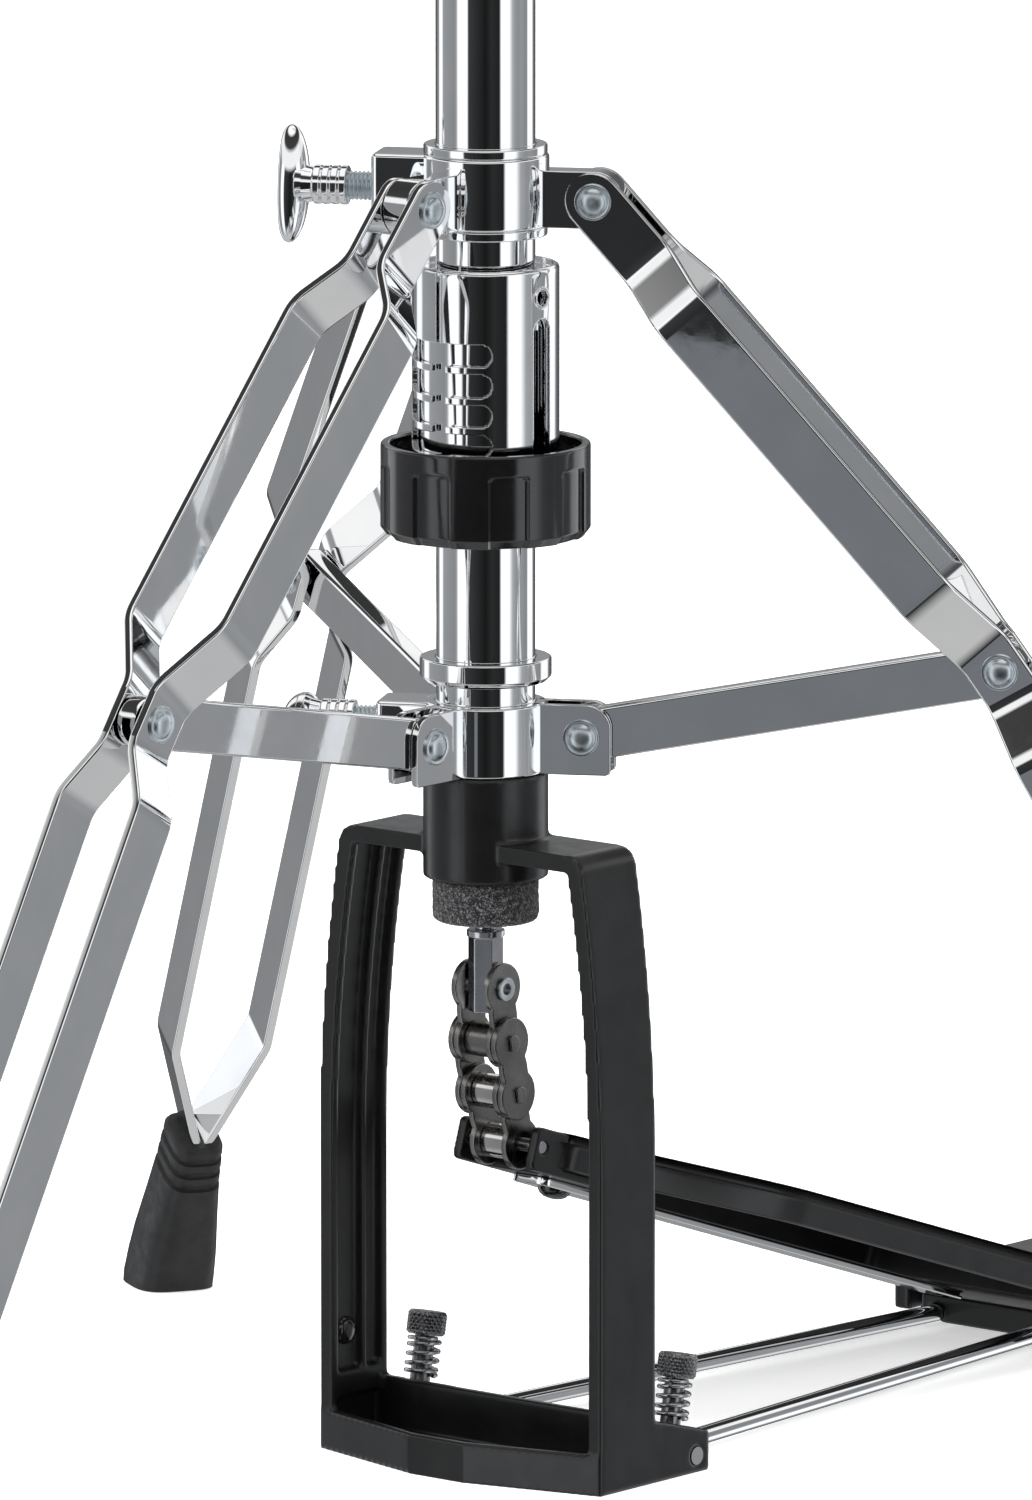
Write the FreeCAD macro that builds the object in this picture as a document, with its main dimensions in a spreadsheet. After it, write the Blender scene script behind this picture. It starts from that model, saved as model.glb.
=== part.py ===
import FreeCAD, Part
import os
from math import atan2, cos, radians, sin, tan

import Sketcher

V = FreeCAD.Vector
X_AXIS, Y_AXIS, Z_AXIS = V(1, 0, 0), V(0, 1, 0), V(0, 0, 1)
SQUARE_TURN, HALF_TURN, FULL_TURN = 90, 180, 360

# Frame: +Z up, the origin on the floor under the tube's axis, +Y towards the drummer's heel.

doc = FreeCAD.newDocument("HiHatStand")

# ------------------------------------------------------------------ driving dimensions (mm, degrees)

DRIVING = {
    # tubes and rods
    "tube_radius": 14.3, "tube_wall": 1.5, "tube_foot": 178.0, "tube_top": 545.0,
    "upper_tube_radius": 11.1, "upper_tube_foot": 470.0, "upper_tube_top": 800.0,
    "rod_radius": 3.0, "rod_lead_radius": 2.75, "rod_joint": 560.0, "rod_top": 1065.0,
    "running_gap": 0.05, "free_gap": 0.3,
    # base frame
    "frame_half_width": 53.0, "frame_half_top": 44.8, "frame_top": 185.5, "frame_front": 11.9,
    "frame_back": 13.1, "frame_flange": 5.0, "frame_web": 2.7, "frame_wall": 3.0,
    "bow_depth": 10.6, "bow_half": 10.4, "beam_front": 11.8, "beam_back": 18.6,
    "socket_radius": 18.05, "socket_foot": 173.7, "socket_top": 204.4,
    "ear_reach": 37.6, "ear_width": 11.5, "ear_high": 18.2, "ear_low": 11.7,
    "felt_radius": 15.25, "felt_foot": 160.8,
    # pull rod end and roller chain
    "hex_flats": 9.0, "hex_foot": 134.0, "hex_top": 156.0, "chain_top": 141.2, "pitch": 15.875,
    "plate_thick": 2.0, "inner_gap": 9.9, "lobe_radius": 7.5, "waist_radius": 5.4,
    "roller_radius": 5.08, "bush_radius": 3.9, "chain_pin_radius": 2.5, "toe_pin_radius": 2.0,
    "lean_1": 4.0, "lean_2": 11.0, "lean_3": 15.0,
    # pedal
    "heel_y": 243.0, "heel_z": 17.0, "board_slope": 18.3, "board_top": 5.6, "board_thick": 2.8,
    "board_depth": 10.5, "board_half": 44.5, "toe_half": 15.0, "toe_reach": 241.0,
    "shoulder_reach": 164.0, "heel_pin_radius": 3.0,
    "rod_wire": 2.65, "rod_hole_y": 31.8, "rod_height": 5.0, "rod_inner": 38.0, "rod_heel": 20.0,
    "spur_x": 47.2, "spur_y": 26.4, "spur_lean": 11.0, "spur_radius": 3.0,
    # spring tension adjuster
    "housing_radius": 21.2, "housing_foot": 276.0, "housing_top": 351.8, "housing_wall": 1.8,
    "liner_radius": 18.9, "slot_width": 7.2, "knob_radius": 30.2, "knob_rim": 27.4,
    "knob_foot": 273.0, "knob_top": 300.0, "seat_height": 283.0, "spring_top": 384.0,
    # tripod
    "upper_pivot_r": 32.3, "upper_pivot_z": 371.0, "rivet_r": 150.0, "rivet_z": 238.3,
    "lower_pivot_r": 28.7, "lower_pivot_z": 215.6, "foot_r": 285.0, "strip_width": 16.5,
    "strip_thick": 2.7, "strip_bend": 12.0, "top_spread": 11.8, "wide_spread": 35.2, "rivet_spread": 10.6,
    "low_spread": 29.0, "foot_spread": 3.1, "foot_length": 60.0,
    "rivet_radius": 3.0, "dome_radius": 4.6, "lug_turn": 208.0,
    "collar_radius": 17.7, "collar_foot": 204.6, "collar_top": 225.0,
    "upper_band_radius": 18.3, "upper_band_foot": 362.8, "upper_band_top": 383.5,
    "ring_radius": 19.0, "ring_foot": 230.8, "ring_top": 237.8,
}

sheet = doc.addObject("Spreadsheet::Sheet", "sizes")
for row, (alias, number) in enumerate(DRIVING.items(), start=1):
    sheet.set("A%d" % row, alias)
    sheet.set("B%d" % row, str(number))
    sheet.setAlias("B%d" % row, alias)
doc.recompute()


class Size:
    """A number together with the sheet expression that gives it."""

    def __init__(self, number, text):
        self.number = float(number)
        self.text = text

    def join(self, other, sign, number):
        return Size(number, "(%s %s %s)" % (self.text, sign, text_of(other)))

    def __add__(self, other):
        return self.join(other, "+", self.number + number_of(other))

    def __sub__(self, other):
        return self.join(other, "-", self.number - number_of(other))

    def __mul__(self, other):
        return self.join(other, "*", self.number * number_of(other))

    def __truediv__(self, other):
        return self.join(other, "/", self.number / number_of(other))

    def __neg__(self):
        return Size(-self.number, "(0 - %s)" % self.text)

    def __radd__(self, other):
        return Size(other, str(other)) + self

    def __rsub__(self, other):
        return Size(other, str(other)) - self


def number_of(size):
    return size.number if isinstance(size, Size) else float(size)


def text_of(size):
    return size.text if isinstance(size, Size) else str(size)


def size(alias):
    """The driving dimension of that name."""
    return Size(DRIVING[alias], "sizes." + alias)


def bind(thing, prop, value):
    """Set a property from a size and keep it bound to the sheet."""
    thing.setExpression(prop, text_of(value))


# ------------------------------------------------------------------ sub-part helpers

PARTS = {}


def keep(thing, node):
    """Name a finished document object as a sub-part."""
    thing.Label = node
    PARTS[node] = thing
    return thing


def plane_of(body, role):
    return next(item for item in body.Origin.OriginFeatures if item.Role == role)


def outline_sketch(body, name, role, corners):
    """A closed polygon sketch whose every corner is bound to the sheet."""
    sketch = body.newObject("Sketcher::SketchObject", name)
    sketch.AttachmentSupport = (plane_of(body, role), [""])
    sketch.MapMode = "FlatFace"
    places = [V(number_of(across), number_of(up), 0) for across, up in corners]
    for index, place in enumerate(places):
        sketch.addGeometry(Part.LineSegment(place, places[(index + 1) % len(places)]), False)
    for index in range(len(places)):
        follower = (index + 1) % len(places)
        sketch.addConstraint(Sketcher.Constraint("Coincident", index, 2, follower, 1))
    for index, (across, up) in enumerate(corners):
        for kind, value in (("DistanceX", across), ("DistanceY", up)):
            number = sketch.addConstraint(Sketcher.Constraint(kind, -1, 1, index, 1, number_of(value)))
            if isinstance(value, Size):
                sketch.setExpression("Constraints[%d]" % number, value.text)
    return sketch


def turned(name, corners):
    """A body of revolution about Z; corners are (radius, height)."""
    body = doc.addObject("PartDesign::Body", name)
    sketch = outline_sketch(body, name + "_profile", "XZ_Plane", corners)
    revolution = body.newObject("PartDesign::Revolution", name + "_turn")
    revolution.Profile = sketch
    revolution.ReferenceAxis = (sketch, ["V_Axis"])
    revolution.Angle = FULL_TURN
    return body


def ring(name, outer, inner, foot, top):
    return turned(name, [(inner, foot), (outer, foot), (outer, top), (inner, top)])


def direction_rotation(direction):
    return FreeCAD.Rotation(Z_AXIS, direction)


def cylinder(name, radius, height, start=V(0, 0, 0), direction=Z_AXIS):
    rod = doc.addObject("Part::Cylinder", name)
    bind(rod, "Radius", radius)
    bind(rod, "Height", height)
    rod.Placement = FreeCAD.Placement(start, direction_rotation(direction))
    return rod


def block(name, lengths, corner):
    """A box; corner is its lowest corner."""
    box = doc.addObject("Part::Box", name)
    for prop, value in zip(("Length", "Width", "Height"), lengths):
        bind(box, prop, value)
    box.Placement.Base = V(*[number_of(value) for value in corner])
    return box


def fused(name, pieces):
    union = doc.addObject("Part::MultiFuse", name)
    union.Shapes = pieces
    union.Refine = True
    return union


def cut(name, base, tools):
    """Base less its tools."""
    tool = tools[0] if len(tools) == 1 else fused(name + "_tools", tools)
    result = doc.addObject("Part::Cut", name)
    result.Base = base
    result.Tool = tool
    result.Refine = True
    return result


def formed(name, shape, placement=None):
    """A sub-part whose shape is made with Part's own functions."""
    feature = doc.addObject("Part::Feature", name)
    feature.Shape = shape
    if placement:
        feature.Placement = placement
    return feature


# ------------------------------------------------------------------ shape helpers (plain Part shapes)

def closed_face(points):
    return Part.Face(Part.makePolygon(list(points) + [points[0]]))


def prism(points, along):
    return closed_face(points).extrude(along)


def rod_shape(start, end, radius):
    return Part.makeCylinder(radius, (end - start).Length, start, end - start)


def corner_arc(before, corner, after, radius):
    """The tangent points and the arc that round one corner of a path."""
    into = (before - corner).normalize()
    out = (after - corner).normalize()
    half = into.getAngle(out) / 2
    reach = radius / tan(half)
    bisector = (into + out).normalize()
    centre = corner + bisector * (radius / sin(half))
    start, end = corner + into * reach, corner + out * reach
    return start, end, Part.Arc(start, centre - bisector * radius, end).toShape()


def rounded_edges(points, radii):
    """Edges along points, with each inner corner rounded to its radius."""
    edges = []
    here = points[0]
    for index in range(1, len(points) - 1):
        start, end, arc = corner_arc(points[index - 1], points[index], points[index + 1], radii[index - 1])
        edges.append(Part.LineSegment(here, start).toShape())
        edges.append(arc)
        here = end
    edges.append(Part.LineSegment(here, points[-1]).toShape())
    return edges


def offset_points(points, distance, normal):
    """A path's corners moved sideways by distance, mitred."""
    moved = []
    for index, point in enumerate(points):
        before = points[max(index - 1, 0)]
        after = points[min(index + 1, len(points) - 1)]
        sides = []
        for start, end in ((before, point), (point, after)):
            if (end - start).Length > 0:
                sides.append(normal.cross((end - start).normalize()))
        side = sides[0] if len(sides) == 1 else (sides[0] + sides[1]).normalize()
        moved.append(point + side * (distance / side.dot(sides[0])))
    return moved


def band(points, thick, radius, normal, depth):
    """A strip of metal bent along points, extruded by depth along normal."""
    turns = []
    for before, corner, after in zip(points, points[1:], points[2:]):
        turns.append(1 if normal.cross(corner - before).dot(after - corner) > 0 else -1)
    left_radii = [radius - turn * thick / 2 for turn in turns]
    right_radii = [radius + turn * thick / 2 for turn in turns]
    left = offset_points(points, thick / 2, normal)
    right = offset_points(points, -thick / 2, normal)
    edges = rounded_edges(left, left_radii)
    edges.append(Part.LineSegment(left[-1], right[-1]).toShape())
    edges += rounded_edges(right, right_radii)[::-1]
    edges.append(Part.LineSegment(right[0], left[0]).toShape())
    face = Part.Face(Part.Wire(Part.__sortEdges__(edges)))
    return face.extrude(normal * depth)


def helix_spring(radius, wire, foot, top, coils):
    """A closed-end coil spring about Z."""
    free = top - foot - 2 * wire
    path = Part.makeHelix(free / coils, free, radius)
    path.translate(V(0, 0, foot + wire))
    section = Part.Wire(Part.makeCircle(wire, V(radius, 0, foot + wire), Y_AXIS))
    return path.makePipeShell([section], True, True)


def screw_head(radius, height, chamfer):
    """A screw head with chamfered rims, standing on the XY plane."""
    head = Part.makeCylinder(radius, height)
    rims = [edge for edge in head.Edges if len(edge.Vertexes) == 1]
    return head.makeChamfer(chamfer, rims)


def dome(radius, height):
    """A low dome standing on the XY plane."""
    ball_radius = (radius ** 2 + height ** 2) / (2 * height)
    ball = Part.makeSphere(ball_radius, V(0, 0, height - ball_radius))
    return ball.common(Part.makeCylinder(radius, height + 1))


def turn_about_z(shape, angle):
    turned_shape = shape.copy()
    turned_shape.rotate(V(0, 0, 0), Z_AXIS, angle)
    return turned_shape


D = DRIVING

# ------------------------------------------------------------------ base frame and its tube

ARC_FOOT = 90.0  # the posts are straight below this height and bow inwards above it


def hoop(inset, foot, front, back):
    """The frame's front outline moved inwards by inset, as a solid between two depths."""
    wide = D["frame_half_width"] - inset
    narrow = D["frame_half_top"] - inset
    top = D["frame_top"] - inset
    drop, rise = wide - narrow, top - ARC_FOOT
    radius = (drop ** 2 + rise ** 2) / (2 * drop)
    middle_angle = atan2(rise, radius - drop) / 2
    middle = V(wide - radius + radius * cos(middle_angle), front, ARC_FOOT + radius * sin(middle_angle))
    right = [V(wide, front, foot), V(wide, front, ARC_FOOT), middle, V(narrow, front, top)]
    left = [V(-point.x, point.y, point.z) for point in right]
    edges = [
        Part.LineSegment(right[0], right[1]).toShape(),
        Part.Arc(right[1], right[2], right[3]).toShape(),
        Part.LineSegment(right[3], left[3]).toShape(),
        Part.Arc(left[3], left[2], left[1]).toShape(),
        Part.LineSegment(left[1], left[0]).toShape(),
        Part.LineSegment(left[0], right[0]).toShape(),
    ]
    return Part.Face(Part.Wire(edges)).extrude(V(0, back - front, 0))


def beam_outline(inset, height):
    """The bowed floor beam's plan, inset from its walls, at one height."""
    side = D["frame_half_width"] - inset
    bow = D["bow_half"] - inset / 4
    front = -D["frame_front"] + inset
    nose = front - D["bow_depth"]
    back = D["frame_back"] - inset
    plan = [(-side, back), (-side, front), (-bow, nose), (bow, nose), (side, front), (side, back)]
    return [V(across, along, height) for across, along in plan]


def spur_line(side):
    """Where a spur's axis leaves the ear, and its direction, head upwards."""
    lean = radians(D["spur_lean"])
    slope = (D["ear_high"] - D["ear_low"]) / (D["ear_reach"] - D["frame_back"])
    height = D["ear_high"] - slope * (D["spur_y"] - D["frame_back"])
    return V(side * D["spur_x"], D["spur_y"], height), V(0, sin(lean), cos(lean))


def radius_rod_shape(side):
    """The bent steel rod that ties an ear of the base frame to the heel block."""
    heights = D["rod_height"]
    start = V(side * D["frame_half_width"], D["rod_hole_y"], heights)
    corner = V(side * D["rod_inner"], D["rod_hole_y"], heights)
    end = V(side * D["rod_heel"], D["heel_y"] + 6, heights)
    path = Part.Wire(rounded_edges([start, corner, end], [6.0]))
    section = Part.Wire(Part.makeCircle(D["rod_wire"], start, X_AXIS))
    return path.makePipeShell([section], True, False)


def base_frame_shape():
    front, back = -D["frame_front"], D["frame_back"]
    wall, flange, web = D["frame_wall"], D["frame_flange"], D["frame_web"]
    deep = front - D["bow_depth"] - 5
    solid = hoop(0, 0, front, back)
    solid = solid.fuse(closed_face(beam_outline(0, 0)).extrude(V(0, 0, D["beam_front"])))
    corners = [edge for edge in solid.Edges
               if edge.Length > back - front - 1 and abs(edge.CenterOfMass.z - D["frame_top"]) < 0.1
               and abs(edge.tangentAt(edge.FirstParameter).y) > 0.99]
    solid = solid.makeFillet(6.0, corners)
    solid = solid.cut(hoop(flange, D["beam_front"], deep, front + wall))
    solid = solid.cut(hoop(flange, wall, front + wall - 0.01, back - wall))
    solid = solid.cut(hoop(flange, D["beam_back"], back - wall - 0.01, back + 1))
    solid = solid.cut(hoop(web, D["beam_back"] + 4, front + wall, 1.4))
    solid = solid.cut(hoop(web, D["beam_back"] + 4, 3.8, back - wall))
    solid = solid.cut(closed_face(beam_outline(wall, wall)).extrude(V(0, 0, D["beam_front"])))
    socket_height = D["socket_top"] - D["socket_foot"]
    socket = Part.makeCylinder(D["socket_radius"], socket_height, V(0, 0, D["socket_foot"]))
    solid = solid.fuse(socket)
    for side in (-1, 1):
        inner = side * (D["frame_half_width"] - D["ear_width"])
        profile = [V(inner, back - wall, 0), V(inner, D["ear_reach"], 0),
                   V(inner, D["ear_reach"], D["ear_low"]), V(inner, back - wall, D["ear_high"] + 0.8)]
        ear = prism(profile, V(side * D["ear_width"], 0, 0))
        place, up = spur_line(side)
        spur_hole = rod_shape(place - up * 30, place + up * 20, D["spur_radius"] + D["running_gap"])
        solid = solid.fuse(ear.cut(spur_hole)).cut(radius_rod_shape(side))
    bore = Part.makeCylinder(D["tube_radius"], 60, V(0, 0, D["tube_foot"]))
    rod_way = Part.makeCylinder(D["rod_radius"] + 1, 60, V(0, 0, D["felt_foot"]))
    return solid.cut(bore).cut(rod_way).removeSplitter()


keep(formed("base_frame_casting", base_frame_shape()), "base_frame")

plug_shapes = []
for plug_side in (-1, 1):
    plug = dome(4.2, 2.0)
    plug.rotate(V(0, 0, 0), Y_AXIS, -plug_side * SQUARE_TURN)
    plug.translate(V(plug_side * (D["frame_half_width"] - D["frame_web"]), -3.5, 34))
    plug_shapes.append(plug)
keep(formed("plugs", Part.makeCompound(plug_shapes)), "frame_plugs")

keep(ring("stop_felt", size("felt_radius"), size("rod_radius") + 1.2, size("felt_foot"),
          size("socket_foot")), "base_felt")
keep(formed("rods", Part.makeCompound([radius_rod_shape(side) for side in (-1, 1)])), "radius_rods")

tube_wall = ring("lower_tube_wall", size("tube_radius"), size("tube_radius") - size("tube_wall"),
                 size("tube_foot"), size("tube_top"))
SLOT_HEIGHT = 55.0  # how far the spring seat's pins can travel
tube_slot = block("lower_tube_slot", (60, size("slot_width"), SLOT_HEIGHT),
                  (-30, -D["slot_width"] / 2, D["seat_height"] - 4))
keep(cut("lower_tube_slotted", tube_wall, [tube_slot]), "lower_tube")

ring_bevel = 1.6
keep(turned("stop_ring", [
    (size("tube_radius"), size("ring_foot")), (size("ring_radius") - ring_bevel, size("ring_foot")),
    (size("ring_radius"), size("ring_foot") + ring_bevel), (size("ring_radius"), size("ring_top")),
    (size("tube_radius"), size("ring_top"))]), "retaining_ring")

# ------------------------------------------------------------------ spring tension adjuster

NOTCH_COUNT = 4
NOTCH_PITCH = 8.7
NOTCH_HEIGHT = 6.6
FIRST_NOTCH_TOP = 331.0
SEAM_AZIMUTH = 270
NOTCH_REACH = 36  # degrees each side of the seam


def sector(radius, foot, height, start, sweep):
    return turn_about_z(Part.makeCylinder(radius, height, V(0, 0, foot), Z_AXIS, sweep), start)


def radial_rod(radius, azimuth, height, reach):
    """A rod from the axis outwards at one azimuth."""
    way = V(cos(radians(azimuth)), sin(radians(azimuth)), 0)
    return rod_shape(V(0, 0, height), V(0, 0, height) + way * reach, radius)


def sleeve(outer, inner, foot, top):
    hollow = Part.makeCylinder(inner, top - foot, V(0, 0, foot))
    return Part.makeCylinder(outer, top - foot, V(0, 0, foot)).cut(hollow)


def pin_slot():
    """The two long round-topped slots, on +X and -X, that the spring seat's pins run in."""
    foot, top, half = D["seat_height"] - 4, 334.0, D["slot_width"] / 2
    flat = Part.makeBox(80, 2 * half, top - foot, V(-40, -half, foot))
    return flat.fuse(rod_shape(V(-40, 0, top), V(40, 0, top), half))


def finger_cuts():
    """The seam and the comb of notches on both sides of it."""
    reach = D["housing_radius"] + 5
    lowest = FIRST_NOTCH_TOP - NOTCH_COUNT * NOTCH_PITCH
    cuts = [sector(reach, FIRST_NOTCH_TOP, 40, SEAM_AZIMUTH - 2, 4),
            sector(reach, lowest, FIRST_NOTCH_TOP - lowest, SEAM_AZIMUTH - 7, 14)]
    for index in range(NOTCH_COUNT):
        foot = FIRST_NOTCH_TOP - index * NOTCH_PITCH - NOTCH_HEIGHT
        middle = foot + NOTCH_HEIGHT / 2
        cuts.append(sector(reach, foot, NOTCH_HEIGHT, SEAM_AZIMUTH - NOTCH_REACH, 2 * NOTCH_REACH))
        for azimuth in (SEAM_AZIMUTH - NOTCH_REACH, SEAM_AZIMUTH + NOTCH_REACH):
            cuts.append(radial_rod(NOTCH_HEIGHT / 2, azimuth, middle, reach))
    return cuts[0].multiFuse(cuts[1:]).cut(Part.makeCylinder(D["liner_radius"] + 0.2, 400))


def housing_shape():
    outer, wall = D["housing_radius"], D["housing_wall"]
    foot, top = D["housing_foot"], D["housing_top"]
    shell = sleeve(outer, outer - wall, foot, top)
    rims = [edge for edge in shell.Edges if abs(edge.CenterOfMass.z - top) < 0.1 and
            abs(edge.BoundBox.XMax - outer) < 0.1 and edge.BoundBox.ZLength < 0.1]
    shell = shell.makeFillet(1.2, rims)
    shell = shell.cut(finger_cuts()).cut(pin_slot()).cut(radial_rod(2.4, 0, 343.5, outer + 5))
    for height in (foot, top - 2.0 - wall):
        shell = shell.fuse(sleeve(outer - wall + 0.01, D["tube_radius"], height, height + 2.0))
    return shell.cut(pin_slot()).removeSplitter()


def liner_shape():
    outer, foot, top = D["liner_radius"], D["housing_foot"] + 2.0, D["housing_top"] - 3.8
    return sleeve(outer, outer - 1.5, foot, top).cut(pin_slot())


keep(formed("housing_sleeve", housing_shape()), "tension_housing")
keep(formed("housing_liner", liner_shape()), "tension_liner")

KNOB_GRIPS = 8


def knob_shape():
    outer, rim = D["knob_radius"], D["knob_rim"]
    foot, top = D["knob_foot"], D["knob_top"]
    bore = D["housing_radius"] + D["free_gap"]
    floor = top - 8.0
    profile = [(bore, foot), (outer - 2.6, foot), (outer - 0.7, foot + 1.0), (outer, foot + 3.0),
               (outer, top - 1.2), (outer - 1.0, top), (rim + 0.4, top), (rim, top - 0.6), (rim, floor),
               (bore, floor)]
    face = closed_face([V(radius, 0, height) for radius, height in profile])
    body = face.revolve(V(0, 0, 0), Z_AXIS, FULL_TURN)
    for index in range(KNOB_GRIPS):
        panel = Part.makeBox(4, 11.6, top - foot - 5, V(outer - 1.1, -5.8, foot - 1))
        uprights = [edge for edge in panel.Edges
                    if edge.BoundBox.XLength > 3 and edge.CenterOfMass.z > top - 7]
        panel = panel.makeFillet(1.6, uprights)
        body = body.cut(turn_about_z(panel, index * FULL_TURN / KNOB_GRIPS + 8))
    groove = sleeve(25.6, bore - 1, D["seat_height"] - 3.4, D["seat_height"] + 3.4)
    return body.cut(groove)


keep(formed("knob_ring", knob_shape()), "tension_knob")

seat_ring = ring("spring_seat_ring", size("tube_radius") - size("tube_wall") - size("free_gap"),
                 size("rod_radius") + size("free_gap"), size("seat_height") - 4, size("seat_height") + 4)
seat_pins = []
for pin_side in (-1, 1):
    pin_start = V(pin_side * 6.0, 0, D["seat_height"])
    seat_pins.append(cylinder("spring_seat_pin_%d" % (2 + pin_side), 3.0, 19.0, pin_start, X_AXIS * pin_side))
keep(fused("spring_seat_with_pins", [seat_ring] + seat_pins), "spring_seat")

keep(formed("spring_coil", helix_spring(10.0, 0.9, D["seat_height"] + 4.2, D["spring_top"] - 0.1, 12)),
     "return_spring")

# ------------------------------------------------------------------ pull rod and clutch

rod_bar = cylinder("pull_rod_bar", size("rod_radius"), size("rod_joint") - size("hex_top") - 2,
                   V(0, 0, D["hex_top"] + 2))
spring_stop = cylinder("pull_rod_stop", 11.6, 6.0, V(0, 0, D["spring_top"]))
keep(fused("pull_rod_staked", [rod_bar, spring_stop]), "pull_rod_lower")
ROD_LEAD = 40.0  # the slightly thinner end that a clutch is slipped over
rod_shoulder = size("rod_top") - ROD_LEAD
keep(turned("pull_rod_extension", [
    (0, size("rod_joint")), (size("rod_radius"), size("rod_joint")), (size("rod_radius"), rod_shoulder),
    (size("rod_lead_radius"), rod_shoulder), (size("rod_lead_radius"), size("rod_top")),
    (0, size("rod_top"))]), "pull_rod_upper")

hexagon = doc.addObject("Part::Prism", "rod_end_hexagon")
hexagon.Polygon = 6
bind(hexagon, "Circumradius", size("hex_flats") / 1.7320508)
bind(hexagon, "Height", size("hex_top") - size("hex_foot"))
hexagon.Placement = FreeCAD.Placement(V(0, 0, D["hex_foot"]), FreeCAD.Rotation(Z_AXIS, 30))
rod_washer = cylinder("rod_end_washer", 5.5, 2.0, V(0, 0, D["hex_top"]))
rod_end_hole = cylinder("rod_end_hole", 2.75, 30, V(-15, 0, D["chain_top"]), X_AXIS)
keep(cut("rod_end_drilled", fused("rod_end_blank", [hexagon, rod_washer]), [rod_end_hole]), "rod_end")

eyelet = cylinder("rod_pin_shank", 2.75, 16.0, V(-8.0, 0, D["chain_top"]), X_AXIS)
eyelet_hole = cylinder("rod_pin_bore", 1.7, 30, V(-15, 0, D["chain_top"]), X_AXIS)
keep(cut("rod_pin_tube", eyelet, [eyelet_hole]), "rod_end_pin")

CLUTCH_SCREW_HEIGHT = 1005.0
clutch_core = turned("clutch_core", [
    (size("rod_radius") + size("running_gap"), 944.0), (6.0, 944.0), (6.0, 992.0), (10.0, 994.0),
    (10.0, 1016.0), (8.6, 1018.0), (size("rod_radius") + size("running_gap"), 1018.0)])
clutch_way = cylinder("clutch_screw_way", 3.05, 30, V(0, 0, CLUTCH_SCREW_HEIGHT),
                      V(cos(radians(D["lug_turn"])), sin(radians(D["lug_turn"])), 0))
keep(cut("clutch_drilled", clutch_core, [clutch_way]), "clutch_body")
nut_shapes = [Part.makeCylinder(11.0, 5.0, V(0, 0, foot)).cut(Part.makeCylinder(6.0, 9.0, V(0, 0, foot - 1)))
              for foot in (946.0, 976.0, 981.6)]
keep(formed("nut_rings", Part.makeCompound(nut_shapes)), "clutch_nuts")
pad_shapes = [sleeve(16.0, 6.0, foot, foot + 9.0) for foot in (951.2, 966.8)]
keep(formed("pad_rings", Part.makeCompound(pad_shapes)), "clutch_felts")


# ------------------------------------------------------------------ roller chain

def chain_place(turns):
    """The placement of the link that hangs below the given leans (degrees)."""
    here = V(0, 0, D["chain_top"])
    for lean in turns[:-1]:
        here += V(0, sin(radians(lean)), -cos(radians(lean))) * D["pitch"]
    return FreeCAD.Placement(here, FreeCAD.Rotation(X_AXIS, turns[-1]))


def across_rod(radius, half, height=0.0):
    return rod_shape(V(-half, 0, height), V(half, 0, height), radius)


def link_plates(inner_face, thick):
    """Both plates of a link, hung from its upper pin along -Z."""
    plates = []
    for side in (-1, 1):
        near = V(side * inner_face, 0, 0)
        far = V(side * (inner_face + thick), 0, 0)
        drop = V(0, 0, -D["pitch"])
        waist_start = near + V(0, -D["waist_radius"], 0)
        waist = prism([waist_start, waist_start + V(0, 2 * D["waist_radius"], 0),
                       waist_start + V(0, 2 * D["waist_radius"], 0) + drop, waist_start + drop], far - near)
        lobes = [rod_shape(near, far, D["lobe_radius"]), rod_shape(near + drop, far + drop, D["lobe_radius"])]
        plates.append(waist.multiFuse(lobes).removeSplitter())
    return plates


def bushed_link(bush_heights, holes):
    """An inner link: plates joined by bushes; holes are (height, radius)."""
    inner_face = D["inner_gap"] / 2
    half = inner_face + D["plate_thick"]
    plates = link_plates(inner_face, D["plate_thick"])
    bushes = [across_rod(radius, half, height) for height, radius in bush_heights]
    link = plates[0].multiFuse(plates[1:] + bushes)
    for height, radius in holes:
        link = link.cut(across_rod(radius, half + 1, height))
    return link.removeSplitter()


def roller(height, bush_radius):
    half = D["inner_gap"] / 2 - 0.15
    return across_rod(D["roller_radius"], half, height).cut(
        across_rod(bush_radius + D["running_gap"], half + 1, height))


LEANS = [D["lean_1"], D["lean_2"], D["lean_3"]]
PIN_BORE = D["chain_pin_radius"] + D["running_gap"]
TOE_BORE, TOE_BUSH = 3.6, 4.3

keep(formed("top_link", bushed_link([(-D["pitch"], D["bush_radius"])],
                                    [(0, 2.75 + D["running_gap"]), (-D["pitch"], PIN_BORE)]),
            chain_place(LEANS[:1])), "chain_link_top")
keep(formed("top_roller", roller(-D["pitch"], D["bush_radius"]), chain_place(LEANS[:1])), "chain_roller_top")

outer_face = D["inner_gap"] / 2 + D["plate_thick"] + 0.1
outer_plates = link_plates(outer_face, D["plate_thick"])
outer_pins = [across_rod(D["chain_pin_radius"], outer_face + D["plate_thick"] + 0.9, height)
              for height in (0, -D["pitch"])]
keep(formed("middle_link", outer_plates[0].multiFuse(outer_plates[1:] + outer_pins).removeSplitter(),
            chain_place(LEANS[:2])), "chain_link_middle")

keep(formed("bottom_link", bushed_link([(0, D["bush_radius"]), (-D["pitch"], TOE_BUSH)],
                                       [(0, PIN_BORE), (-D["pitch"], TOE_BORE)]),
            chain_place(LEANS)), "chain_link_bottom")
keep(formed("bottom_rollers", Part.makeCompound([roller(0, D["bush_radius"]), roller(-D["pitch"], TOE_BUSH)]),
            chain_place(LEANS)), "chain_rollers_bottom")

# ------------------------------------------------------------------ pedal

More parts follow.
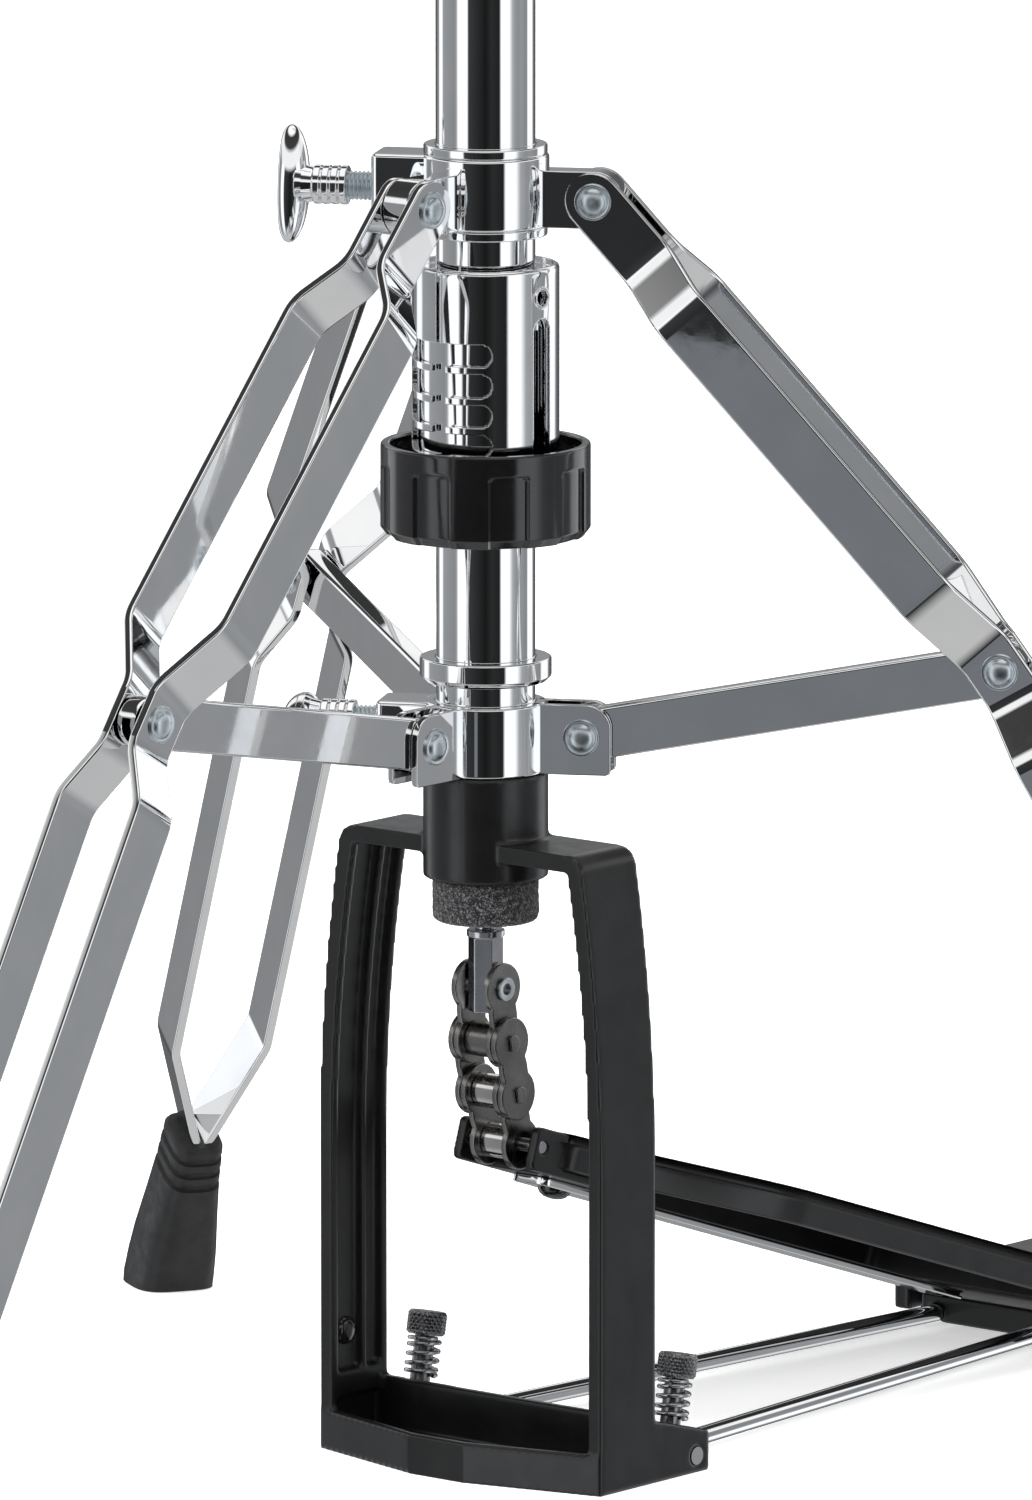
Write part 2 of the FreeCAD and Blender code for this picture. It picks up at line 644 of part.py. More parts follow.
HINGE = V(0, D["heel_y"], D["heel_z"])
PEDAL = FreeCAD.Placement(HINGE, FreeCAD.Rotation(X_AXIS, -D["board_slope"]))
toe_pin_place = chain_place(LEANS + [0]).Base
TOE = PEDAL.inverse().multVec(toe_pin_place)  # the toe pin in the pedal's own frame


def board_plan(inset, heel):
    """Half-width against reach of the footboard, in its own plane."""
    toe, half = D["toe_half"] - inset, D["board_half"] - inset
    front = TOE.y + 10.6 + inset
    right = [(half, heel), (half, -D["shoulder_reach"]), (half - 3, -D["shoulder_reach"] - 14),
             (toe + 2.5, front + 24), (toe, front)]
    return right + [(-across, along) for across, along in right[::-1]]


def board_block(inset, heel, low, high):
    return prism([V(across, along, low) for across, along in board_plan(inset, heel)], V(0, 0, high - low))


def footboard_shape():
    low = D["board_top"] - D["board_depth"]
    thick = D["board_thick"]
    board = board_block(0, -9.0, low, D["board_top"])
    board = board.cut(board_block(thick, 20.0, low - 1, D["board_top"] - thick))
    for side in (-1, 1):
        start = V(side * (D["board_half"] - thick), 0, 0)
        lug = rod_shape(start, start + V(side * thick, 0, 0), D["board_top"] - 0.1)
        neck_corner = V(min(start.x, start.x + side * thick), -13, low + 0.4)
        neck = Part.makeBox(thick, 14, 2 * D["board_top"] - 1.2, neck_corner)
        board = board.fuse(lug).fuse(neck)
    board = board.cut(across_rod(D["heel_pin_radius"] + D["running_gap"], 60))
    grip = Part.makeBox(30, 2.4, 1.0, V(-15, 0, D["board_top"] - 0.6))
    for index in range(9):
        rib = grip.copy()
        rib.translate(V(0, -60 - index * 14, 0))
        board = board.cut(rib)
    return board.removeSplitter()


def toe_bracket_shape():
    low = D["board_top"] - D["board_depth"] - 0.05
    half = D["toe_half"]
    ear_inner = half - 3.0
    front = TOE.y - 3.7
    rear = TOE.y + 10.4
    web_top = low
    bracket = Part.makeBox(2 * half, 34, 2.5, V(-half, rear - 2.6, web_top - 2.5))
    for side in (-1, 1):
        corner = V(min(side * ear_inner, side * half), front, web_top - 2.5)
        ear = Part.makeBox(3.0, rear - front, 5.4 - corner.z, corner)
        uprights = [edge for edge in ear.Edges
                    if edge.BoundBox.XLength > 2 and edge.CenterOfMass.y < front + 1]
        bracket = bracket.fuse(ear.makeFillet(2.2, uprights))
    screw_way = Part.makeCylinder(2.4, 20, V(0, TOE.y + 27, -20))
    pin_way = rod_shape(TOE - X_AXIS * 20, TOE + X_AXIS * 20, D["toe_pin_radius"])
    return bracket.cut(screw_way).cut(pin_way).removeSplitter()


BAR_TOP = D["board_top"] - D["board_depth"] - 0.05 - 2.5


def under_bar_shape():
    start, end = TOE.y + 14, -26.0
    bar = Part.makeBox(14, end - start, 2.6, V(-7, start, BAR_TOP - 2.6))
    rounds = [edge for edge in bar.Edges if edge.BoundBox.ZLength > 2 and edge.Length < 3]
    return bar.makeFillet(4.0, rounds).cut(Part.makeCylinder(2.4, 20, V(0, TOE.y + 27, -20)))


def toe_screw_shape():
    place = V(0, TOE.y + 27, BAR_TOP - 2.6)
    head = dome(4.8, 2.6)
    head.rotate(V(0, 0, 0), X_AXIS, HALF_TURN)
    head.translate(place)
    return head.fuse(Part.makeCylinder(2.4, 8.0, place))


keep(formed("board", footboard_shape(), PEDAL), "footboard")
keep(formed("clevis", toe_bracket_shape(), PEDAL), "toe_bracket")
keep(formed("toe_pin_bar", rod_shape(TOE - X_AXIS * 14.6, TOE + X_AXIS * 14.6, D["toe_pin_radius"]), PEDAL),
     "toe_pin")
keep(formed("bar", under_bar_shape(), PEDAL), "under_bar")
keep(formed("screw", toe_screw_shape(), PEDAL), "toe_screw")

# ------------------------------------------------------------------ heel

PAD_HEIGHT = 2.0
DECK_TOP = 14.0
DECK_HALF = 42.0
DECK_FRONT = D["heel_y"] + 9.5
DECK_BACK = 322.0


def heel_plate_shape():
    deck = Part.makeBox(2 * DECK_HALF, DECK_BACK - DECK_FRONT, DECK_TOP - PAD_HEIGHT,
                        V(-DECK_HALF, DECK_FRONT, PAD_HEIGHT))
    back_corners = [edge for edge in deck.Edges if edge.BoundBox.ZLength > 5 and edge.CenterOfMass.y > 300]
    deck = deck.makeFillet(14.0, back_corners)
    hollow = Part.makeBox(2 * DECK_HALF - 12, DECK_BACK - DECK_FRONT - 12, 20,
                          V(6 - DECK_HALF, DECK_FRONT + 6, -11))
    nose_depth = DECK_FRONT - D["heel_y"] + 7
    nose = Part.makeBox(54, nose_depth, 8.5, V(-27, D["heel_y"] - 7, PAD_HEIGHT))
    plate_shape = deck.cut(hollow).fuse(nose)
    for side in (-1, 1):
        outer = side * (D["board_half"] - D["board_thick"] - 0.3)
        inner = outer - side * 6
        knuckle = rod_shape(V(inner, HINGE.y, HINGE.z), V(outer, HINGE.y, HINGE.z), 6.0)
        low_x = min(inner, outer)
        neck = Part.makeBox(6, 12, HINGE.z - 3, V(low_x, HINGE.y - 2, 3))
        plate_shape = plate_shape.fuse(knuckle).fuse(neck)
        plate_shape = plate_shape.cut(radius_rod_shape(side))
    pin_way = rod_shape(HINGE - X_AXIS * 60, HINGE + X_AXIS * 60, D["heel_pin_radius"])
    return plate_shape.cut(pin_way).removeSplitter()


keep(formed("heel_casting", heel_plate_shape()), "heel_plate")
pad_boxes = [Part.makeBox(6.0, 52, PAD_HEIGHT, V(corner, DECK_FRONT + 2, 0))
             for corner in (-DECK_HALF, DECK_HALF - 6)]
keep(formed("heel_strips", Part.makeCompound(pad_boxes)), "heel_pads")
heel_pin_bar = cylinder("heel_pin_bar", size("heel_pin_radius"), size("board_half") * 2 + 1.2,
                        HINGE - X_AXIS * (D["board_half"] + 0.6), X_AXIS)
heel_pin_heads = []
for pin_side in (-1, 1):
    head_place = HINGE + X_AXIS * pin_side * (D["board_half"] + 0.4)
    heel_pin_heads.append(cylinder("heel_pin_head_%d" % (2 + pin_side), 4.6, 1.8, head_place,
                                   X_AXIS * pin_side))
keep(fused("heel_pin", [heel_pin_bar] + heel_pin_heads), "heel_hinge_pin")

# ------------------------------------------------------------------ spurs

SPUR_SPRING = 13.5
SPUR_HEAD = 7.0


def spur_shape():
    """A spur along Z: 0 is where it leaves the ear, its knurled head is on top."""
    tip = -14.2
    point = Part.makeCone(0.6, D["spur_radius"], 4.0, V(0, 0, tip))
    shank = Part.makeCylinder(D["spur_radius"], SPUR_SPRING - tip - 4.0, V(0, 0, tip + 4.0))
    head = screw_head(5.8, SPUR_HEAD, 0.6)
    head.translate(V(0, 0, SPUR_SPRING))
    return point.fuse(shank).fuse(head).removeSplitter()


for spur_side, side_name in ((-1, "left"), (1, "right")):
    spur_start, spur_up = spur_line(spur_side)
    spur_place = FreeCAD.Placement(spur_start, FreeCAD.Rotation(Z_AXIS, spur_up))
    keep(formed("spur_" + side_name, spur_shape(), spur_place), "spur_screw_" + side_name)
    keep(formed("coil_" + side_name, helix_spring(4.5, 0.65, 1.2, SPUR_SPRING - 0.1, 5), spur_place),
         "spur_spring_" + side_name)


# ------------------------------------------------------------------ tripod collars

LEGS = {"leg_right": 30.0, "leg_left": 150.0, "leg_front": 270.0}
UPPER_PIVOT = V(D["upper_pivot_r"], 0, D["upper_pivot_z"])
MID_RIVET = V(D["rivet_r"], 0, D["rivet_z"])
LOWER_PIVOT = V(D["lower_pivot_r"], 0, D["lower_pivot_z"])
EAR_HALF = 4.3
BRACE_HALF = 3.1


def tangent_rod(place, radius, half):
    return rod_shape(place - Y_AXIS * half, place + Y_AXIS * half, radius)


def rivet_head(place, side, seat):
    """A riveted end: a washer and a dome, seat mm off the leg's plane."""
    washer = Part.makeCylinder(D["dome_radius"] + 0.7, 0.7)
    cap = dome(D["dome_radius"] - 0.6, 1.9)
    cap.translate(V(0, 0, 0.7))
    head = washer.fuse(cap)
    head.rotate(V(0, 0, 0), X_AXIS, -side * SQUARE_TURN)
    head.translate(place + Y_AXIS * side * seat)
    return head


def through_rivet(place, seat):
    shank = tangent_rod(place, D["rivet_radius"], seat + 0.2)
    return shank.fuse(rivet_head(place, -1, seat)).fuse(rivet_head(place, 1, seat)).removeSplitter()


def lug_shape(inner, reach, foot, top, screw_height):
    """The clamp's folded lug: a roof and an end wall, open below and at the sides."""
    outer_box = Part.makeBox(reach - inner, 17, top - foot, V(inner, -8.5, foot))
    inner_box = Part.makeBox(reach - inner - 3, 12, top - foot - 3, V(inner, -6, foot))
    rounds = [edge for edge in outer_box.Edges if abs(edge.CenterOfMass.x - reach) < 0.1]
    lug = outer_box.makeFillet(1.8, rounds).cut(inner_box)
    screw_way = rod_shape(V(inner, 0, screw_height), V(reach + 5, 0, screw_height), 4.35)
    return turn_about_z(lug.cut(screw_way), D["lug_turn"])


def upper_collar_shape():
    foot, top, outer = D["upper_band_foot"], D["upper_band_top"], D["upper_band_radius"]
    collar = Part.makeCylinder(outer, top - foot, V(0, 0, foot))
    rims = [edge for edge in collar.Edges if len(edge.Vertexes) == 1]
    collar = collar.makeFillet(1.0, rims)
    for azimuth in LEGS.values():
        tab = tangent_rod(UPPER_PIVOT, D["strip_width"] / 2, EAR_HALF)
        bar = Part.makeBox(UPPER_PIVOT.x - 10, 2 * EAR_HALF, D["strip_width"],
                           V(10, -EAR_HALF, UPPER_PIVOT.z - D["strip_width"] / 2))
        ear = tab.fuse(bar).cut(tangent_rod(UPPER_PIVOT, D["rivet_radius"], 20)).removeSplitter()
        collar = collar.fuse(turn_about_z(ear, azimuth))
    collar = collar.fuse(lug_shape(12.0, 32.0, foot + 2, top, 373.0))
    return collar.cut(Part.makeCylinder(16.0, 60, V(0, 0, foot - 10))).removeSplitter()


def lower_collar_shape():
    foot, top, outer = D["collar_foot"], D["collar_top"], D["collar_radius"]
    collar = Part.makeCylinder(outer, top - foot, V(0, 0, foot))
    rims = [edge for edge in collar.Edges if len(edge.Vertexes) == 1]
    collar = collar.makeFillet(0.8, rims)
    for azimuth in LEGS.values():
        for side in (-1, 1):
            low = min(side * (BRACE_HALF + 0.2), side * (BRACE_HALF + 2.4))
            ear = Part.makeBox(27.2, 2.2, top - foot, V(10, low, foot))
            rounds = [edge for edge in ear.Edges if abs(edge.CenterOfMass.x - 37.2) < 0.1
                      and edge.BoundBox.YLength > 2 and edge.CenterOfMass.z > top - 1]
            ear = ear.makeFillet(7.0, rounds).cut(tangent_rod(LOWER_PIVOT, D["rivet_radius"], 20))
            collar = collar.fuse(turn_about_z(ear, azimuth))
    collar = collar.fuse(lug_shape(12.0, 31.0, foot + 6, top - 0.2, 218.0))
    bore = Part.makeCylinder(D["tube_radius"] + D["running_gap"], 60, V(0, 0, foot - 10))
    return collar.cut(bore).removeSplitter()


def rivets_on(place, seat):
    return Part.makeCompound([turn_about_z(through_rivet(place, seat), azimuth) for azimuth in LEGS.values()])


STRIP_SEAT = D["top_spread"] / 2 + D["strip_thick"] / 2 + 0.1

keep(formed("upper_band", upper_collar_shape()), "upper_collar")
bush_bore = size("tube_radius") + size("running_gap")
keep(turned("upper_bush", [
    (bush_bore, size("upper_band_foot") - 2.8), (17.8, size("upper_band_foot") - 2.8),
    (17.8, size("upper_band_foot")), (16.0, size("upper_band_foot")), (16.0, size("upper_band_top")),
    (17.8, size("upper_band_top")), (17.8, size("upper_band_top") + 2.8),
    (bush_bore, size("upper_band_top") + 2.8)]), "upper_collar_bushing")
keep(formed("upper_rivets", rivets_on(UPPER_PIVOT, STRIP_SEAT)), "upper_collar_rivets")
keep(formed("lower_band", lower_collar_shape()), "lower_collar")
keep(formed("lower_rivets", rivets_on(LOWER_PIVOT, BRACE_HALF + 2.4)), "lower_collar_rivets")


# ------------------------------------------------------------------ wing screws

def wing_screw_shape(start, stem, wing, thread_radius):
    """A wing screw along X from its tip at start; stem and wing are further reaches."""
    screw = rod_shape(V(start, 0, 0), V(stem + 1, 0, 0), thread_radius)
    boss = rod_shape(V(stem, 0, 0), V(wing - 1, 0, 0), thread_radius + 1.4)
    for index in range(3):
        place = stem + 2.0 + index * 2.6
        groove = rod_shape(V(place, 0, 0), V(place + 1.0, 0, 0), 12)
        boss = boss.cut(groove.cut(rod_shape(V(place, 0, 0), V(place + 1.0, 0, 0), thread_radius + 0.7)))
    stretch = FreeCAD.Matrix()
    stretch.scale(V(5.6, 5.8, 17.0))
    blade = Part.makeSphere(1.0).transformGeometry(stretch)
    blade.translate(V(wing, 0, 0))
    return screw.fuse(boss).fuse(blade)


def screw_place(azimuth, height, roll):
    turn = FreeCAD.Rotation(Z_AXIS, azimuth).multiply(FreeCAD.Rotation(X_AXIS, roll))
    return FreeCAD.Placement(V(0, 0, height), turn)


keep(formed("upper_wing", wing_screw_shape(22.0, 40.0, 57.0, 4.25), screw_place(D["lug_turn"], 373.0, 8)),
     "upper_wing_screw")
keep(formed("lower_wing", wing_screw_shape(21.0, 38.0, 55.0, 4.25), screw_place(D["lug_turn"], 218.0, 84)),
     "lower_wing_screw")


# ------------------------------------------------------------------ legs and braces

def run(start, end):
    return (end - start).normalize()


UPPER_LENGTH = (MID_RIVET - UPPER_PIVOT).Length
LOWER_DROP = V(D["foot_r"], 0, 0) - MID_RIVET
LOWER_LENGTH = LOWER_DROP.Length


def leg_band(origin, along, stations, side):
    """One strip's run in the leg's plane; stations are (distance, spread between centres)."""
    across = Y_AXIS.cross(along).normalize()
    points = [origin + along * reach + Y_AXIS * (side * spread / 2) for reach, spread in stations]
    start = [point - across * (D["strip_width"] / 2) for point in points]
    return band(start, D["strip_thick"], D["strip_bend"], across, D["strip_width"])


def soften(shape, radius, is_side_face):
    """Round the long edges around the faces picked out by is_side_face."""
    counts = {}
    for face in shape.Faces:
        if is_side_face(face):
            for edge in face.Edges:
                key = edge.hashCode()
                counts.setdefault(key, []).append(edge)
    edges = [found[0] for found in counts.values() if len(found) == 1]
    return shape.makeFillet(radius, edges)


def strip_shape(side):
    top, wide, pinch = D["top_spread"], D["wide_spread"], D["rivet_spread"]
    upper = leg_band(UPPER_PIVOT, run(UPPER_PIVOT, MID_RIVET),
                     [(0, top), (24.4, top), (39.4, wide), (147.7, wide), (168.5, pinch),
                      (UPPER_LENGTH, pinch)], side)
    lower = leg_band(MID_RIVET, LOWER_DROP.normalize(),
                     [(0, pinch), (9.5, pinch), (26.0, D["low_spread"]), (177.0, D["low_spread"]),
                      (214.0, D["foot_spread"]), (LOWER_LENGTH - 12.0, D["foot_spread"])], side)
    half = D["strip_thick"] / 2
    strip = upper.fuse(lower)
    for place, spread in ((UPPER_PIVOT, top), (MID_RIVET, pinch)):
        inner = place + Y_AXIS * (side * spread / 2 - half)
        strip = strip.fuse(rod_shape(inner, inner + Y_AXIS * (2 * half), D["strip_width"] / 2))
    strip = strip.removeSplitter()
    strip = strip.cut(tangent_rod(UPPER_PIVOT, D["rivet_radius"] + D["running_gap"], 20))
    return strip.cut(tangent_rod(MID_RIVET, D["rivet_radius"], 20))


def rounded_section(centre, along, wide, deep, corner):
    """A rounded rectangle across the foot: wide in the leg's tangent, deep in its plane."""
    across = Y_AXIS.cross(along).normalize()
    spots = []
    for sign_y, sign_x in ((1, 1), (-1, 1), (-1, -1), (1, -1)):
        spots.append(centre + Y_AXIS * (sign_y * wide / 2) + across * (sign_x * deep / 2))
    edges = []
    for index in range(4):
        before, here, after = spots[index - 1], spots[index], spots[(index + 1) % 4]
        following = spots[(index + 2) % 4]
        start, end, arc = corner_arc(before, here, after, corner)
        next_start, next_end, next_arc = corner_arc(here, after, following, corner)
        edges.append(arc)
        edges.append(Part.LineSegment(end, next_start).toShape())
    return Part.Wire(Part.__sortEdges__(edges))


def foot_shape():
    top = MID_RIVET + LOWER_DROP.normalize() * (LOWER_LENGTH - D["foot_length"])
    bottom = V(D["foot_r"] - 4, 0, 0)
    along = run(top, bottom)
    span = (bottom - top).Length
    stations = [(0, 15.6, 21.5, 3.5), (0.22, 16.6, 22.5, 4.0), (0.7, 22.5, 26.0, 5.0),
                (1.25, 25.0, 27.0, 6.0)]
    wires = [rounded_section(top + along * (span * part), along, wide, deep, corner)
             for part, wide, deep, corner in stations]
    solid = Part.makeLoft(wires, True, False)
    floor = Part.makeBox(200, 200, 100, V(200, -100, -100))
    return solid.cut(floor)


def mid_rivet_shape(side):
    inner = D["rivet_spread"] / 2 - D["strip_thick"] / 2 - 0.3
    seat = D["rivet_spread"] / 2 + D["strip_thick"] / 2
    start, end = MID_RIVET + Y_AXIS * side * inner, MID_RIVET + Y_AXIS * side * (seat + 0.2)
    shank = rod_shape(start, end, D["rivet_radius"])
    return shank.fuse(rivet_head(MID_RIVET, side, seat))


def brace_shape():
    """A channel bar, open below, from the lower collar's pivot to the leg's rivet."""
    along = run(LOWER_PIVOT, MID_RIVET)
    up = along.cross(Y_AXIS) * -1
    up = up if up.z > 0 else up * -1
    half_high, wall = 7.5, 1.5
    length = (MID_RIVET - LOWER_PIVOT).Length
    corner = LOWER_PIVOT - up * half_high - Y_AXIS * BRACE_HALF
    tall, wide = up * (2 * half_high), Y_AXIS * (2 * BRACE_HALF)
    bar = prism([corner, corner + tall, corner + tall + wide, corner + wide], along * length)
    ends = [tangent_rod(place, half_high, BRACE_HALF) for place in (LOWER_PIVOT, MID_RIVET)]
    bar = bar.fuse(ends[0]).fuse(ends[1]).removeSplitter()
    low = LOWER_PIVOT - up * (half_high + 5) - along * 20 - Y_AXIS * (BRACE_HALF - wall)
    tall, wide = up * (2 * half_high + 5 - wall), Y_AXIS * (2 * (BRACE_HALF - wall))
    inside = prism([low, low + tall, low + tall + wide, low + wide], along * (length + 40))
    bar = bar.cut(inside)
    bar = bar.cut(tangent_rod(LOWER_PIVOT, D["rivet_radius"] + D["running_gap"], 20))
    return bar.cut(tangent_rod(MID_RIVET, D["rivet_radius"] + 0.2, 20))


both_strips = [strip_shape(side) for side in (-1, 1)]
leg_foot = foot_shape().cut(both_strips[0]).cut(both_strips[1])
leg_rivets = [mid_rivet_shape(side) for side in (-1, 1)]
leg_brace = brace_shape()
for leg, azimuth in LEGS.items():
    leg_place = FreeCAD.Placement(V(0, 0, 0), FreeCAD.Rotation(Z_AXIS, azimuth))
    keep(formed(leg + "_bands", Part.makeCompound(both_strips), leg_place), leg + "_strips")
    keep(formed(leg + "_boot", leg_foot, leg_place), leg + "_foot")
    keep(formed(leg + "_pins", Part.makeCompound(leg_rivets), leg_place), leg + "_rivets")
    keep(formed(leg + "_channel", leg_brace, leg_place), leg + "_brace")

# ------------------------------------------------------------------ upper tube, height clamp and seat

keep(ring("height_tube", size("upper_tube_radius"), size("upper_tube_radius") - 1.4, size("upper_tube_foot"),
          size("upper_tube_top")), "upper_tube")


def height_clamp_shape():
    foot, step, top = D["tube_top"] - 26, D["tube_top"], D["tube_top"] + 24
    bore = D["upper_tube_radius"] + D["running_gap"]
    profile = [(D["tube_radius"], foot), (18.5, foot), (19.5, foot + 1.5), (19.5, top - 2), (17.5, top),
               (bore, top), (bore, step), (D["tube_radius"], step)]
    face = closed_face([V(radius, 0, height) for radius, height in profile])
    clamp = face.revolve(V(0, 0, 0), Z_AXIS, FULL_TURN)
    lug = Part.makeBox(20, 14, 30, V(13, -7, top - 34))
    lug = lug.cut(Part.makeCylinder(18, 100, V(0, 0, foot - 10)))
    lug = turn_about_z(lug, D["lug_turn"])
    screw_way = turn_about_z(rod_shape(V(12, 0, top - 19), V(50, 0, top - 19), 4.3), D["lug_turn"])
    return clamp.fuse(lug).cut(screw_way).removeSplitter()


keep(formed("clamp_casting", height_clamp_shape()), "height_clamp")
clamp_wing = wing_screw_shape(14.6, 41.0, 58.0, 4.2)
keep(formed("clamp_wing", clamp_wing, screw_place(D["lug_turn"], D["tube_top"] + 5, 8)), "clamp_wing_screw")

seat_foot = size("upper_tube_top")
seat_bore = size("rod_radius") + 0.6
keep(turned("seat_casting", [
    (seat_bore, seat_foot - 12), (size("upper_tube_radius") - 1.4, seat_foot - 12),
    (size("upper_tube_radius") - 1.4, seat_foot), (13.0, seat_foot), (14.0, seat_foot + 5),
    (25.0, seat_foot + 10), (26.0, seat_foot + 14), (7.2, seat_foot + 14), (7.2, seat_foot + 24),
    (6.5, seat_foot + 24), (6.5, seat_foot + 42), (seat_bore, seat_foot + 42)]), "seat_cup")
keep(ring("seat_pad", 19.0, 7.2, seat_foot + 14, seat_foot + 24), "seat_felt")
clutch_wing = wing_screw_shape(3.4, 12.0, 24.0, 3.0)
keep(formed("clutch_wing", clutch_wing, screw_place(D["lug_turn"], CLUTCH_SCREW_HEIGHT, 8)),
     "clutch_wing_screw")

# ------------------------------------------------------------------ check and write

doc.recompute()
for thing in doc.Objects:
    if set(thing.State) & {"Invalid", "Error"}:
        raise RuntimeError("%s did not compute" % thing.Name)

os.makedirs("parts", exist_ok=True)
for node, thing in PARTS.items():
    thing.Label = node
    if thing.Shape.isNull() or not thing.Shape.isValid():
        raise RuntimeError("%s has no valid shape" % node)
    thing.Shape.exportStep("parts/%s.step" % node)
print("%d sub-parts written" % len(PARTS))
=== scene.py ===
from math import atan2, ceil, cos, hypot, pi, radians, sin, sqrt, tan

import bmesh
import bpy
import numpy as np
from mathutils import Matrix, Vector


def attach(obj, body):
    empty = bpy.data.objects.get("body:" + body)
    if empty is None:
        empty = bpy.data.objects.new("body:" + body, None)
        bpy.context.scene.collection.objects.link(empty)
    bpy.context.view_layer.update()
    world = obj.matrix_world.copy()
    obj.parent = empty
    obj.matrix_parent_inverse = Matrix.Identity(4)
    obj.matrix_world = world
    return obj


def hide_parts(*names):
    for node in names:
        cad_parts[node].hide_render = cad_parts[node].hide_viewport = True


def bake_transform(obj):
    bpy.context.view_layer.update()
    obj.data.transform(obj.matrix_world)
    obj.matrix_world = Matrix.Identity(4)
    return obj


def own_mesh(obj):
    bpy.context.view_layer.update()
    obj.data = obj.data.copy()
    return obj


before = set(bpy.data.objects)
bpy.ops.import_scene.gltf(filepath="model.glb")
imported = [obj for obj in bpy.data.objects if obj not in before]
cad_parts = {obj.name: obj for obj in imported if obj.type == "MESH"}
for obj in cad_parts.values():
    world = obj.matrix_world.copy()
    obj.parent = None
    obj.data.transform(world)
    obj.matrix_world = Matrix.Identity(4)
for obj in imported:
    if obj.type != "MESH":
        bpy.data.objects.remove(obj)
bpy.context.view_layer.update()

MM = 0.001
TURN = 2 * pi

# ---------------------------------------------------------------- node helpers for materials


def new_material(name):
    material = bpy.data.materials.new(name)
    material.use_nodes = True
    tree = material.node_tree
    shader = tree.nodes["Principled BSDF"]
    return material, tree, shader


def add_node(tree, kind, **settings):
    node = tree.nodes.new(kind)
    for key, value in settings.items():
        if hasattr(node, key):
            setattr(node, key, value)
        else:
            node.inputs[key].default_value = value
    return node


def noise_field(tree, scale, detail=3.0, rough=0.5):
    """Noise over the object's own coordinates; scale is in features per metre."""
    field = add_node(tree, "ShaderNodeTexNoise", Scale=scale, Detail=detail, Roughness=rough)
    coordinates = add_node(tree, "ShaderNodeTexCoord")
    tree.links.new(coordinates.outputs["Object"], field.inputs["Vector"])
    return field.outputs["Fac"]


def ranged(tree, value, low, high, start=0.3, end=0.7):
    span = add_node(tree, "ShaderNodeMapRange")
    for key, number in (("From Min", start), ("From Max", end), ("To Min", low), ("To Max", high)):
        span.inputs[key].default_value = number
    tree.links.new(value, span.inputs["Value"])
    return span.outputs["Result"]


def coloured(tree, value, stops):
    """A value read through a colour ramp; stops are (place, colour), lowest first."""
    ramp = add_node(tree, "ShaderNodeValToRGB")
    elements = ramp.color_ramp.elements
    while len(elements) < len(stops):
        elements.new(0.5)
    for element, (place, shade) in zip(elements, stops):
        element.position = place
        element.color = (*shade, 1)
    tree.links.new(value, ramp.inputs["Fac"])
    return ramp.outputs["Color"]


def relief(tree, shader, fields, edge=0.0):
    """Chained bumps; fields are (value, strength, depth in metres). edge rounds what is still sharp."""
    normal = None
    if edge:
        normal = add_node(tree, "ShaderNodeBevel", samples=6, Radius=edge).outputs["Normal"]
    for value, strength, depth in fields:
        bump = add_node(tree, "ShaderNodeBump", Strength=strength, Distance=depth)
        tree.links.new(value, bump.inputs["Height"])
        if normal:
            tree.links.new(normal, bump.inputs["Normal"])
        normal = bump.outputs["Normal"]
    tree.links.new(normal, shader.inputs["Normal"])


def surface(name, dark, light, drift, haze, rough_low, rough_high):
    """A material whose tone and polish drift over it; drift and haze are the settings of their noise."""
    material, tree, shader = new_material(name)
    tone = noise_field(tree, *drift)
    tree.links.new(coloured(tree, tone, [(0.3, dark), (0.7, light)]), shader.inputs["Base Color"])
    tree.links.new(ranged(tree, noise_field(tree, *haze), rough_low, rough_high), shader.inputs["Roughness"])
    return material, tree, shader, tone


def metal(name, dark, light, rough_low, rough_high, depth=0.00001, edge=0.0):
    """Bare or plated metal with faint scratches, depth metres deep."""
    material, tree, shader, _ = surface(name, dark, light, (60.0, 4.0), (260.0, 5.0, 0.6),
                                        rough_low, rough_high)
    shader.inputs["Metallic"].default_value = 1.0
    relief(tree, shader, [(noise_field(tree, 900.0, 2.0), 0.12, depth)], edge)
    return material


def paint(name, dark, light, rough_low, rough_high, depth=0.00006, coat=0.0):
    """Black paint or moulded plastic with a slight orange peel."""
    material, tree, shader, _ = surface(name, dark, light, (35.0, 4.0), (150.0, 4.0), rough_low, rough_high)
    shader.inputs["Coat Weight"].default_value = coat
    shader.inputs["Coat Roughness"].default_value = 0.10
    skin = noise_field(tree, 700.0, 2.0)
    wave = noise_field(tree, 90.0, 1.0)
    relief(tree, shader, [(wave, 0.10, 0.0003), (skin, 0.25, depth)])
    return material


